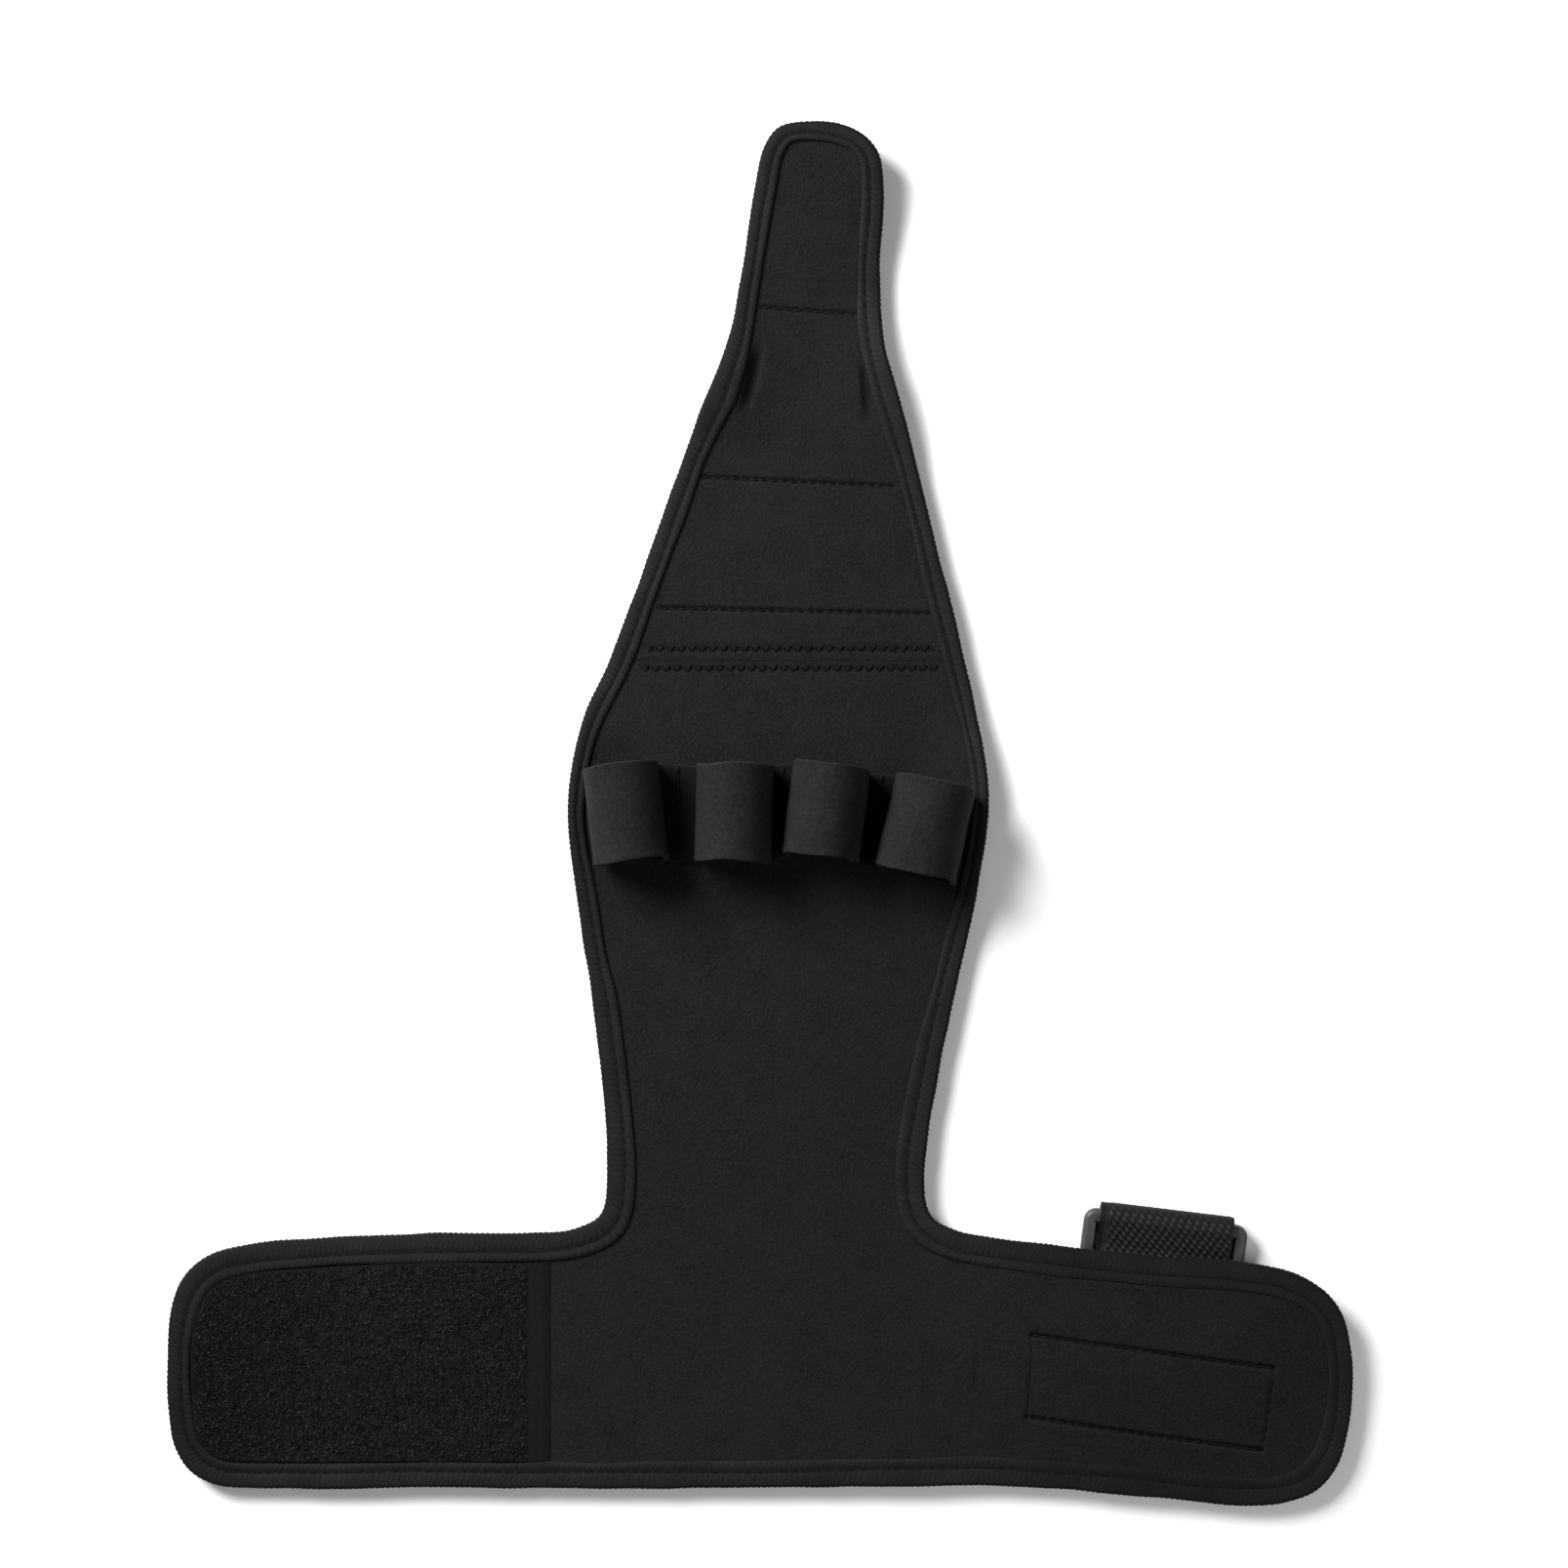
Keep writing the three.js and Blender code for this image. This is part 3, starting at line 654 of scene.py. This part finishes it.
def polyester_thread():
    """Twisted polyester thread: fine, black and slightly shiny."""
    made, tree, place = start_material('polyester_thread')
    twist = add(tree, 'TexNoise', {'Vector': place, 'Scale': 1 / 0.2, 'Detail': 1.0})
    end_material(tree, (twist, colour('#040404'), colour('#0f0f0f')), twist, 0.03,
                 Roughness=0.6, Specular_IOR_Level=0.1)
    return made


def pale_floor():
    """Matt paper backdrop: plain and pale."""
    made, tree, place = start_material('backdrop_paper')
    tooth = add(tree, 'TexNoise', {'Vector': place, 'Scale': 1 / 0.8, 'Detail': 2.0})
    end_material(tree, colour('#f2f2f2'), tooth, 0.01, Roughness=0.9)
    return made


NEOPRENE = neoprene_knit()
STRIP_KNIT = loop_strip_knit()
TAPE_WEAVE = binding_tape()
PILE = loop_pile()
HOOKS = hook_tape()
WEBBING = woven_webbing()
ACETAL = moulded_acetal()
THREAD = polyester_thread()


def finish_piece(piece, material, body='splint', replaced=()):
    piece.data.materials.append(material)
    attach(piece, body)
    if replaced:
        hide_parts(*replaced)
    return piece


def stitching_piece(name, runs):
    corners, faces = join(*runs)
    return finish_piece(build(name, corners, faces), THREAD)


# Panels, butted and sewn at the tongue's seam

BUTT_GAP = 0.02
BUTT_ROUND = 0.6


def butt(y):
    """How much the panels' faces fall away at the butted seam."""
    away = np.abs(y - TONGUE_SEAM) - BUTT_GAP
    return 0.22 * np.clip(1 - away / BUTT_ROUND, 0, 1) ** 2


def panel_piece(name, node, side):
    ring = clip_ring(inset_ring(EDGE_WALL + GAP), 0, TONGUE_SEAM + side * BUTT_GAP, 0, side)
    ring = with_steps(ring, 1.1)
    lines = [row[:4] for row in SEAM_LINES + ZIGZAG_ROWS + CREASES]
    lines.append((-60, TONGUE_SEAM, 70, TONGUE_SEAM))
    corners, faces = cut_cloth(
        ring, 1.25,
        lambda x, y: inner_face(x, y) - butt(y),
        lambda x, y: PANEL_BOTTOM + lie(x, y) + 0.3 * dips(x, y),
        lines,
    )
    # Painted shade: the depth of the seams and creases, for the knit to darken there
    pressed = np.clip(dips(corners[:, 0], corners[:, 1]) / 1.2, 0, 1)
    made = build(name, corners, faces, pressed=pressed)
    piece = finish_piece(made, NEOPRENE, replaced=[node])


# Binding tape round the edge

RIB_PITCH = 1.3
RIB_SLANT = 4  # stations that a rib runs on by, from the edge to the groove
TAPE_GROOVE = 0.61  # the sewn groove's place, as a share of the tape's width
# The tape's section: place (mm from the edge, share of the band outside the groove, share of the
# ridge inside it), height, rib's push outwards, rib's rise, tone: painted shade from dark at the rim, in
# the groove and at the inner edge to lit on the band's and the ridge's tops
TAPE_SECTION = [
    (0, 0, 0, 2.4, 0.14, 0, 0),
    (0.05, 0, 0, 3.4, 0.14, 0, 0),
    (0.28, 0, 0, 4.1, 0.08, 0.03, 0),
    (0.62, 0, 0, 4.38, 0, 0.06, 0.15),
    (1.05, 0, 0, 4.47, 0, 0.09, 1),
    (0, 0.5, 0, 4.5, 0, 0.1, 1),
    (0, 0.72, 0, 4.49, 0, 0.1, 1),
    (0, 0.87, 0, 4.38, 0, 0.06, 0.85),
    (0, 1, 0, 4.15, 0, 0, 0.25),
    (0, 1, 0.14, 4.27, 0, 0.03, 0.55),
    (0, 1, 0.4, 4.42, 0, 0.08, 1),
    (0, 1, 0.66, 4.43, 0, 0.09, 1),
    (0, 1, 0.86, 4.29, 0, 0.06, 0.9),
    (0, 1, 1, 4.02, 0, 0.02, 0.6),
    (-0.1, 1, 1, 3.74, 0, 0, 0.3),
    (1.22, 0, 0, 3.8, 0, 0, 0.3),
    (1.05, 0, 0, 2.4, 0, 0, 0.3),
    (1.22, 0, 0, 1, 0, 0, 0.3),
    (-0.1, 1, 1, 0.94, 0, 0, 0.3),
    (0, 1, 1, 0.7, 0, 0, 0.6),
    (0, 1, 0.75, 0.14, 0, -0.06, 1),
    (0, 1, 0.15, 0.45, 0, 0, 0.55),
    (0, 1, 0, 0.72, 0, 0, 0.25),
    (0, 0.85, 0, 0.25, 0, -0.06, 0.85),
    (1.3, 0, 0, 0.18, 0, -0.1, 1),
    (0.3, 0, 0, 0.95, 0.1, -0.06, 0.2),
]
TAPE_FLAT = 3.82  # height of the tape where it is pressed flat
WING_RELIEF = ([45, 65, 115, 135], [1, 0.45, 0.45, 0.75])  # along the right wing: x, share
TAPE_STITCH = 2.8
STITCH_LEVELS = ((4.16, 0.08), (0.68, -0.10))  # inner and outer face: height, arch


def tape_relief(x, y):
    """How proud the tape's band and ridge stand: the right wing's tape is pressed flatter."""
    return 1 + rise_to(-88 - y, 8) * (np.interp(x, *WING_RELIEF) - 1)


def tape_piece():
    ribs = round(PERIMETER / RIB_PITCH)
    stitches = round(PERIMETER / TAPE_STITCH)
    count = 3 * ribs
    ring = evenly(OUTLINE, count)
    inward = inward_of(ring, TURN_SPREAD)
    waver = 0.16 * wander(count, 150, 11)
    width = tape_width(*ring.T) + 0.35 * wander(count, 90, 12)
    sewn = tape_width(*ring.T) * TAPE_GROOVE + 0.22 * wander(count, 120, 13)
    bold = np.random.default_rng(14).uniform(0.25, 1.1, ribs).repeat(3)
    rib = np.tile([-1.0, 0.55, 0.45], ribs) * bold
    pucker = np.cos(2 * pi * np.arange(count) * stitches / count)
    section, shade = [], []
    for inset, band, ridge, height, push, rise, tone in TAPE_SECTION:
        outside = waver * (1 - band)
        slanted = np.roll(rib, round(RIB_SLANT * (band + 0.6 * ridge)))
        reach = outside + inset + band * sewn + ridge * (width - sewn) - push * slanted
        if band == 1 and ridge == 0:
            height = height + 0.09 * pucker
        at = ring + inward * reach[:, None]
        relief = tape_relief(*at.T)
        height = height - (1 - relief) * np.maximum(height - TAPE_FLAT, 0)
        section.append(np.column_stack([at, height + rise * slanted + lie(*at.T)]))
        # Painted highlights on the ribs' crests and painted shade in their valleys, times the section's
        # painted tone; the right wing's flatter tape is painted darker
        ribbed = np.clip(0.55 + 0.45 * slanted * (abs(rise) > 0.03), 0, 1)
        shade.append(ribbed * tone * (0.3 + 0.7 * relief))
    corners = np.stack(section, 1)
    index = np.arange(count * len(TAPE_SECTION)).reshape(count, -1)
    faces = quad_grid(np.pad(index, ((0, 1), (0, 1)), 'wrap'))
    shade = np.stack(shade, 1).ravel()
    piece = build('edge_tape', corners.reshape(-1, 3), faces.tolist(), smooth=75, rib=shade)
    finish_piece(piece, TAPE_WEAVE, replaced=['edge_binding'])

    # One stitch in the groove for each pucker, on both faces
    place = (np.arange(stitches) + 0.08) * count / stitches
    until = (np.arange(stitches) + 0.88) * count / stitches
    runs = []
    for height, arch in STITCH_LEVELS:
        ends = []
        for at in (place, until):
            i = at.astype(int) % count
            spot = ring[i] + inward[i] * sewn[i][:, None]
            pressed = (1 - tape_relief(*spot.T)) * max(height - TAPE_FLAT, 0)
            ends.append(np.column_stack([spot, height - pressed + lie(*spot.T)]))
        runs.append(thread(*ends, 0.15, arch))
    stitching = stitching_piece('tape_stitching', runs)


# Lines of stitches on the panels

def along_line(line, pitch, share):
    """Starts and ends of stitches along a line."""
    start, end = np.array(line[:2]), np.array(line[2:])
    count = max(1, round(np.linalg.norm(end - start) / pitch))
    at = np.arange(count)[:, None] / count
    step = (end - start) / count
    middle = start + (end - start) * at + step / 2
    return middle - step * share / 2, middle + step * share / 2


def on_face(flat, sink):
    return np.column_stack([flat, inner_face(*flat.T) + sink])


def seam_stitching():
    runs = []
    for *line, pull in SEAM_LINES:
        a, b = along_line(line, SEAM_PITCH, 0.84)
        runs.append(thread(on_face(a, 0.04), on_face(b, 0.04), 0.07 + 0.2 * pull, 0.12))
    for x0, y0, x1, y1 in ZIGZAG_ROWS:
        count = round((x1 - x0) / (ZIGZAG_PITCH / 2))
        x = np.linspace(x0, x1, count + 1)
        y = (y0 + y1) / 2 + ZIGZAG_SWING * np.where(np.arange(count + 1) % 2, 1, -1)
        spots = np.column_stack([x, y])
        a = spots[:-1] + 0.04 * (spots[1:] - spots[:-1])
        b = spots[1:] - 0.04 * (spots[1:] - spots[:-1])
        runs.append(thread(on_face(a, 0.05), on_face(b, 0.05), 0.19, 0.14))
    for x, y in TACKS:
        spots = np.array([(x - 0.9, y + k) for k in (-0.45, 0, 0.45)])
        runs.append(thread(on_face(spots, 0.15), on_face(spots + (1.8, 0.2), 0.15), 0.18, 0.1))
    stitching_piece('seam_stitching', runs)


# Finger loops

STRIP_STEP = 0.55  # between stations along the strip
STRIP_STITCH = 2.4


def strip_piece():
    stations = []
    for tip_x, tip_y, root_x, root_y, width, height in FINGER_LOOPS:
        tip, root = np.array((tip_x, tip_y)), np.array((root_x, root_y))
        along = unit(tip - root)
        across = np.array((along[1], -along[0]))
        waist = height * LOOP_WAIST
        half = width / 2
        rise = height - waist
        t = np.linspace(0, 1, 61)
        low, inner_low = asin((waist - STRIP) / rise), asin(waist / (rise - STRIP))
        outer = -low + t * (pi + 2 * low)
        inner = -inner_low + t * (pi + 2 * inner_low)
        offset = -(half * np.cos(outer) + (half - STRIP) * np.cos(inner)) / 2
        up = waist + (rise * np.sin(outer) + (rise - STRIP) * np.sin(inner)) / 2
        ends = []
        for end in (tip, root):
            spot = end + across * offset[:, None] + along * LOOP_LEAN * up[:, None]
            ends.append(np.column_stack([spot, LOOP_SEAT + up + lie(*spot.T)]))
        stations.append(np.stack(ends, 1))
    line = np.vstack(stations)
    walked = distances(line.mean(1))
    at = np.linspace(0, walked[-1], round(walked[-1] / STRIP_STEP))
    even = np.stack([np.interp(at, walked, line[:, e, k]) for e in (0, 1) for k in range(3)], 1)
    even = even.reshape(-1, 2, 3)
    # Soften the folds between the loops
    reach = 3
    kernel = np.exp(-0.5 * (np.arange(-reach, reach + 1) / 1.4) ** 2)
    kernel /= kernel.sum()
    first = 2 * even[:1] - even[1:reach + 1][::-1]
    last = 2 * even[-1:] - even[-reach - 1:-1][::-1]
    longer = np.vstack([first, even, last])
    even = sum(kernel[k] * longer[k:k + len(even)] for k in range(2 * reach + 1))

    width = float(np.linalg.norm(even[:, 0] - even[:, 1], axis=1).mean())
    lip = [0, 0.12, 0.35, 0.7]
    columns = np.array(lip + list(np.linspace(1.2, width - 1.2, 34)) + [width - d for d in lip[::-1]])
    share = (columns / width)[None, :, None]
    # Hand-cut edges wander a little, the one towards the tongue less than the other
    wave_tip = 0.3 * noise(at, at * 0, 8, 21)
    wave_root = 0.45 * noise(at, at * 0, 7, 22)
    run = unit(even[:, 1] - even[:, 0])
    crowns = (np.arange(len(FINGER_LOOPS)) + 0.5) * at[-1] / len(FINGER_LOOPS)
    tip_trim, root_trim = (np.interp(at, crowns, trims) for trims in np.array(LOOP_TRIMS).T)
    tip_edge = even[:, 0] + run * (wave_tip + tip_trim)[:, None]
    root_edge = even[:, 1] + run * (wave_root - root_trim)[:, None]
    middle = tip_edge[:, None] * (1 - share) + root_edge[:, None] * share
    normal = unit(np.cross(np.gradient(middle, axis=0), np.gradient(middle, axis=1)))
    if normal[15, 20, 2] < 0:
        normal = -normal
    u, v = np.meshgrid(at, columns, indexing='ij')
    # Soft unevenness, and cut edges that curl outwards, most towards the wings
    uneven = 0.22 * noise(u, v, 9, 23) + 0.1 * noise(u, v, 4, 24)
    curl = 0.3 * np.clip(1 - (width - v) / 3.2, 0, 1) ** 2 + 0.2 * np.clip(1 - v / 2.4, 0, 1) ** 2
    high = np.clip((middle[:, :, 2] - LOOP_SEAT - 4) / 5, 0, 1)
    # Painted shade: none high on the loops, full at their feet in the valleys
    deep = np.clip(1 - (middle[:, :, 2] - LOOP_SEAT - 1) / 10, 0, 1).ravel()
    middle = middle + normal * ((uneven + curl) * high)[:, :, None]
    edge = np.minimum(np.minimum(v, width - v), np.minimum(u, at[-1] - u) + 0.05)
    fullness = np.interp(edge, [0, 0.12, 0.35, 0.7], [0.62, 0.82, 0.95, 1])
    half_thick = (STRIP / 2 * fullness)[:, :, None]
    corners, faces = slab(middle + normal * half_thick, middle - normal * half_thick)
    cut = np.interp(edge, [0, 0.12, 0.36], [0.3, 0.15, 0])
    ends = np.clip(1 - np.minimum(u, at[-1] - u) / 0.7, 0, 1)
    cut = np.maximum(cut, ends).ravel()
    piece = build('finger_loops', corners, faces.tolist(), smooth=60,
                  cut_edge=np.tile(cut, 2), fold=np.tile(deep, 2))
    finish_piece(piece, STRIP_KNIT, replaced=['finger_loop_strip'])

    # Lines of stitches that hold the strip down between the loops
    feet = []
    for before, after in zip(FINGER_LOOPS, FINGER_LOOPS[1:]):
        tip_x = (before[0] + before[4] / 2 + after[0] - after[4] / 2) / 2
        root_x = (before[2] + before[4] / 2 + after[2] - after[4] / 2) / 2
        feet.append((tip_x, (before[1] + after[1]) / 2 - 0.8, root_x, (before[3] + after[3]) / 2 + 0.8))
    runs = []
    for foot in feet:
        level = LOOP_SEAT + STRIP + 0.12
        ends = [np.column_stack([at, level + lie(*at.T)]) for at in along_line(foot, STRIP_STITCH, 0.8)]
        runs.append(thread(*ends, 0.2, 0.12))
    stitching = stitching_piece('loop_stitching', runs)


# Fastener tapes: soft loop pile and hooks

def pile_strands(ring, base_of, count, height, seed, up=1):
    """Little arched and wavy filaments, scattered over a ring."""
    chance = np.random.default_rng(seed)
    low, high = ring.min(0), ring.max(0)
    spots = chance.uniform(low, high, (3 * count, 2))
    spots = spots[inside(spots, ring, 0.45)][:count]
    count = len(spots)
    turn = chance.uniform(0, 2 * pi, count)
    length = chance.uniform(0.4, 0.85, count)
    tall = height * chance.uniform(0.45, 1.0, count)
    along = np.column_stack([np.cos(turn), np.sin(turn)])
    side = np.column_stack([-along[:, 1], along[:, 0]])
    steps = np.array([-0.5, -0.2, 0.2, 0.5])
    sway = chance.uniform(-0.22, 0.22, (count, 4))
    rise = np.array([-0.15, 0.85, 1.0, -0.15])
    flat = spots[:, None] + along[:, None] * (length[:, None] * steps)[:, :, None]
    flat = flat + side[:, None] * sway[:, :, None]
    level = base_of(*spots.T)[:, None] + up * tall[:, None] * rise
    paths = np.concatenate([flat, level[:, :, None]], 2)
    across = np.column_stack([side, np.zeros(count)])
    tone = chance.uniform(0, 1, count).repeat(4 * 3)
    return *tubes(paths, [0.08, 0.1, 0.1, 0.08], across, 3), tone


def hook_rows(ring, base_of, seed):
    """Rows of little bent hooks that hang from the tape."""
    chance = np.random.default_rng(seed)
    spots = staggered(ring.min(0), ring.max(0), 1.7)
    spots = spots[inside(spots, ring, 1.2)]
    count = len(spots)
    spots = spots + chance.uniform(-0.12, 0.12, (count, 2))
    turn = np.where(chance.uniform(size=count) < 0.5, 0, pi) + chance.uniform(-0.3, 0.3, count)
    along = np.column_stack([np.cos(turn), np.sin(turn), np.zeros(count)])
    across = np.column_stack([-along[:, 1], along[:, 0], np.zeros(count)])
    out = np.array([-0.3, -0.34, -0.2, 0.12, 0.34, 0.3])
    down = np.array([-0.06, 0.22, 0.44, 0.46, 0.3, 0.16])
    base = np.column_stack([spots, base_of(*spots.T)])
    paths = base[:, None] + along[:, None] * out[:, None] - np.array((0, 0, 1)) * down[:, None]
    return tubes(paths, [0.1, 0.09, 0.09, 0.09, 0.08, 0.05], across, 4)


def patch_pieces():
    # Soft loop patch on the left wing, plain along its inner border
    beside_tape = inset_ring(tape_width(*COARSE.T) + 0.05)
    ring = with_steps(clip_ring(beside_tape, LOOP_PATCH_END, 0, pi / 2, 1), 1.1)

    def sewn_edge(x):
        """How far the plain border is pressed down along its straight end."""
        return rise_to(x - LOOP_PATCH_END + 1.6, 1.6)

    def pile_top(x, y):
        napped = ease_out((x - PILE_END + 1.2) / 1.2)
        fur = 0.07 * noise(x, y, 1.3, 31) + 0.06 * noise(x, y, 5, 32)
        border = 0.42 - 0.56 * sewn_edge(x)
        return SEAT + lie(x, y) + border + (0.2 + fur) * napped

    def underside(x, y):
        return SEAT + lie(x, y) - 0.27 * sewn_edge(x)

    def ground(x, y):
        return 0.5 + lie(x, y)

    corners, faces = cut_cloth(ring, 0.9, pile_top, underside)
    backing = build('wing_loop_backing', corners, faces)
    finish_piece(backing, PILE, replaced=['wing_loop_patch'])
    napped_ring = clip_ring(ring, PILE_END, 0, pi / 2, 1)
    corners, faces, tone = pile_strands(napped_ring, pile_top, 9800, 0.42, 33)
    nap = build('wing_loop_pile', corners, faces, smooth=180, tone=tone)
    finish_piece(nap, PILE)

    # Tapes on the outer face, which lie under the cloth
    edge = inset_ring(BINDING_WIDTH + GAP)
    tongue_loop = clip_ring(clip_ring(edge, *TONGUE_LOOP_FROM, 1), *TONGUE_LOOP_TO, -1)
    cuts = [
        ('wing_hook', rectangle(*WING_HOOK), HOOKS, 'hook_tape', 'hand_cloth'),
        ('tongue_hook', clip_ring(edge, *TIP_HOOK_START, 1), HOOKS, 'hook_tape', 'tongue_cloth'),
        ('tongue_loop', tongue_loop, PILE, 'loop_pile', 'tongue_cloth'),
    ]
    for seed, (name, ring, material, slot, carrier) in enumerate(cuts, 41):
        ring = with_steps(ring, 1.2)
        corners, faces = cut_cloth(ring, 1.4, lambda x, y: TAPE + lie(x, y), ground)
        backing = build(name + '_backing', corners, faces)
        finish_piece(backing, material, replaced=[name + '_patch'])
        if slot == 'hook_tape':
            corners, faces = hook_rows(ring, ground, seed)
            tone = np.full(len(corners), 0.5)
        else:
            corners, faces, tone = pile_strands(ring, ground, 4200, 0.42, seed, up=-1)
        face = build(name + '_face', corners, faces, smooth=180, tone=tone)
        finish_piece(face, material)


# Ring and webbing

WEAVE_ACROSS = 1.94  # from one light yarn to the next in a row
WEAVE_ALONG = 1.2  # from row to row, each offset by half


def seat_matrix():
    """From the ring's own frame at the wing's edge to the splint's, in metres."""
    place = Matrix.Translation(Vector((*RING_SEAT, 0)) * MM)
    return place @ Matrix.Rotation(RING_TURN, 4, 'Z')


def webbing_piece():
    out, up = HELD_BAR
    middle = RING_BAR / 2 + GAP + 0.55
    angles = np.linspace(-WEBBING_WRAP, WEBBING_WRAP, 41)
    slack = WEBBING_SLACK * np.clip(np.cos(angles), 0, 1)
    low, high = WEBBING_LAYERS
    line = np.vstack([
        [(-WEBBING_TAIL, low), (2.3, low)],
        np.column_stack([out + (middle + slack) * np.cos(angles), up + middle * np.sin(angles)]),
        [(1.0, high), (-WEBBING_TAIL, high)],
    ])
    walked = distances(line)
    at = np.linspace(0, walked[-1], round(walked[-1] / 0.24))
    even = np.stack([np.interp(at, walked, line[:, k]) for k in (0, 1)], 1)
    for _ in range(8):
        even[1:-1] = (even[:-2] + 2 * even[1:-1] + even[2:]) / 4
    run = unit(np.gradient(even, axis=0))
    normal = np.column_stack([run[:, 1], -run[:, 0]])
    across = np.linspace(-WEBBING_WIDTH / 2, WEBBING_WIDTH / 2, 133)
    u, v = np.meshgrid(at, across, indexing='ij')
    # Diamonds: yarns float over each other in rows that are offset by half
    weave = np.cos(pi * u / WEAVE_ALONG) * np.cos(2 * pi * (v - 0.35 * u) / WEAVE_ACROSS)
    # The weave is stretched flat over the bar, the band along the left edge is plain, and a painted
    # shadow darkens the left edge
    taut = np.interp(np.abs(u - at[-1] / 2), [1.4, 3.6], [0.3, 1])
    selvedge = np.clip(np.minimum(v + WEBBING_WIDTH / 2 - 2.1, WEBBING_WIDTH / 2 - v - 0.2) / 0.6, 0, 1)
    # Painted shadow along the left edge, next to the ring's bar
    left_edge_shadow = np.clip((v + WEBBING_WIDTH / 2 - 0.8) / 0.4, 0, 1)
    end = np.clip(np.minimum(u, at[-1] - u) / 0.8, 0, 1)
    raised = 0.12 * weave * selvedge * taut
    thick = WEBBING_THICKNESS / 2 * (0.75 + 0.25 * selvedge * end)
    grids = []
    for side in (1, -1):
        push = side * (thick + raised * (1 if side > 0 else 0.1))
        flat = even[:, None] + normal[:, None] * push[:, :, None]
        grids.append(np.stack([v, flat[:, :, 0], flat[:, :, 1]], -1))
    corners, faces = slab(*grids)
    # Painted highlights on the raised yarns; painted shade over the bar, turning to painted light
    # further down
    yarn_highlights = np.clip(0.2 + 1.1 * weave, 0, 1) * selvedge * taut
    rubbed_and_shaded = np.interp(np.abs(u - at[-1] / 2), [0, 2.5, 7.5], [0.3, 0.5, 1.35])
    shade = ((0.35 * (1 - selvedge * taut) + yarn_highlights) * left_edge_shadow * rubbed_and_shaded).ravel()
    piece = build('ring_strap', corners, faces.tolist(), smooth=60, weave=np.tile(shade, 2))
    piece.data.transform(seat_matrix())
    finish_piece(piece, WEBBING, replaced=['ring_webbing'])


def select_only(mesh, edges=None, faces=None):
    """In object mode, selects the edges or faces that a test on them picks."""
    for item in (*mesh.vertices, *mesh.edges, *mesh.polygons):
        item.select = False
    for edge in mesh.edges:
        if edges and edges(*(mesh.vertices[i].co / MM for i in edge.vertices)):
            edge.select = True
    for face in mesh.polygons:
        if faces and faces(face):
            face.select = True


def edit(operator, **settings):
    bpy.ops.object.mode_set(mode='EDIT')
    operator(**settings)
    bpy.ops.object.mode_set(mode='OBJECT')


def ring_piece():
    """The moulded ring, modelled flat with its middle at the origin."""
    bpy.ops.object.select_all(action='DESELECT')
    bpy.ops.mesh.primitive_cube_add(size=1)
    ring = bpy.context.object
    ring.name = 'moulded_ring'
    ring.scale = Vector((RING_WIDTH, RING_DEPTH, RING_THICKNESS)) * MM
    bpy.ops.object.transform_apply(location=False, rotation=False, scale=True)
    mesh = ring.data
    bpy.context.tool_settings.mesh_select_mode = (False, False, True)
    select_only(mesh, faces=lambda face: abs(face.normal.z) > 0.9)
    edit(bpy.ops.mesh.inset, thickness=RING_BAR * MM, use_individual=True)
    edit(bpy.ops.mesh.bridge_edge_loops)
    # Round corners, wide outside and tight inside
    bpy.context.tool_settings.mesh_select_mode = (False, True, False)
    for reach, radius, segments in RING_CORNERS:
        select_only(mesh, edges=lambda a, b: abs(a.z - b.z) > 1 and abs(abs(a.x) - reach) < 0.01)
        edit(bpy.ops.mesh.bevel, offset=radius * MM, segments=segments, affect='EDGES')
    rim = ring.modifiers.new('rim', 'BEVEL')
    rim.limit_method = 'ANGLE'
    rim.angle_limit = radians(50)
    rim.width = RING_RIM * MM
    rim.use_clamp_overlap = False
    rim.segments = 5
    bpy.ops.object.modifier_apply(modifier='rim')
    bpy.ops.object.shade_smooth_by_angle(angle=radians(40))
    tilt = asin((HELD_BAR[1] - FAR_BAR_HEIGHT) / (RING_DEPTH - RING_BAR))
    hang = Matrix.Translation(Vector((0, -(RING_DEPTH - RING_BAR) / 2, 0)) * MM)
    turn = Matrix.Rotation(tilt, 4, 'X')
    held = Matrix.Translation(Vector((0, *HELD_BAR)) * MM)
    mesh.transform(seat_matrix() @ held @ turn @ hang)
    mesh.materials.clear()
    finish_piece(ring, ACETAL, body='ring', replaced=['buckle_ring'])


# Put it together

tape_piece()
panel_piece('hand_cloth', 'hand_panel', -1)
panel_piece('tongue_cloth', 'tongue_panel', 1)
seam_stitching()
strip_piece()
patch_pieces()
ring_piece()
webbing_piece()

# Floor and light

bpy.ops.object.select_all(action='DESELECT')
bpy.ops.mesh.primitive_plane_add(size=4, location=(0, 0, 0))
floor = bpy.context.object
floor.name = 'floor'
floor.data.transform(Matrix.Translation((0, 0, -0.05 * MM)))
floor.data.materials.append(pale_floor())

# Soft boxes: place, size and power, in metres and watts
SOFT_BOXES = [
    ('key', (-0.55, 0.45, 0.5), 0.45, 22),
    ('fill', (0.6, -0.3, 0.7), 0.6, 3),
]
for name, place, size, power in SOFT_BOXES:
    lamp = bpy.data.lights.new(name, 'AREA')
    lamp.size = size
    lamp.energy = power
    box = bpy.data.objects.new(name, lamp)
    box.location = place
    box.rotation_euler = (-Vector(place)).to_track_quat('-Z', 'Y').to_euler()
    bpy.context.scene.collection.objects.link(box)

world = bpy.data.worlds.new('room')
world.use_nodes = True
world.node_tree.nodes['Background'].inputs['Color'].default_value = (1, 1, 1, 1)
world.node_tree.nodes['Background'].inputs['Strength'].default_value = 0.17
bpy.context.scene.world = world
bpy.context.scene.view_settings.view_transform = 'Standard'
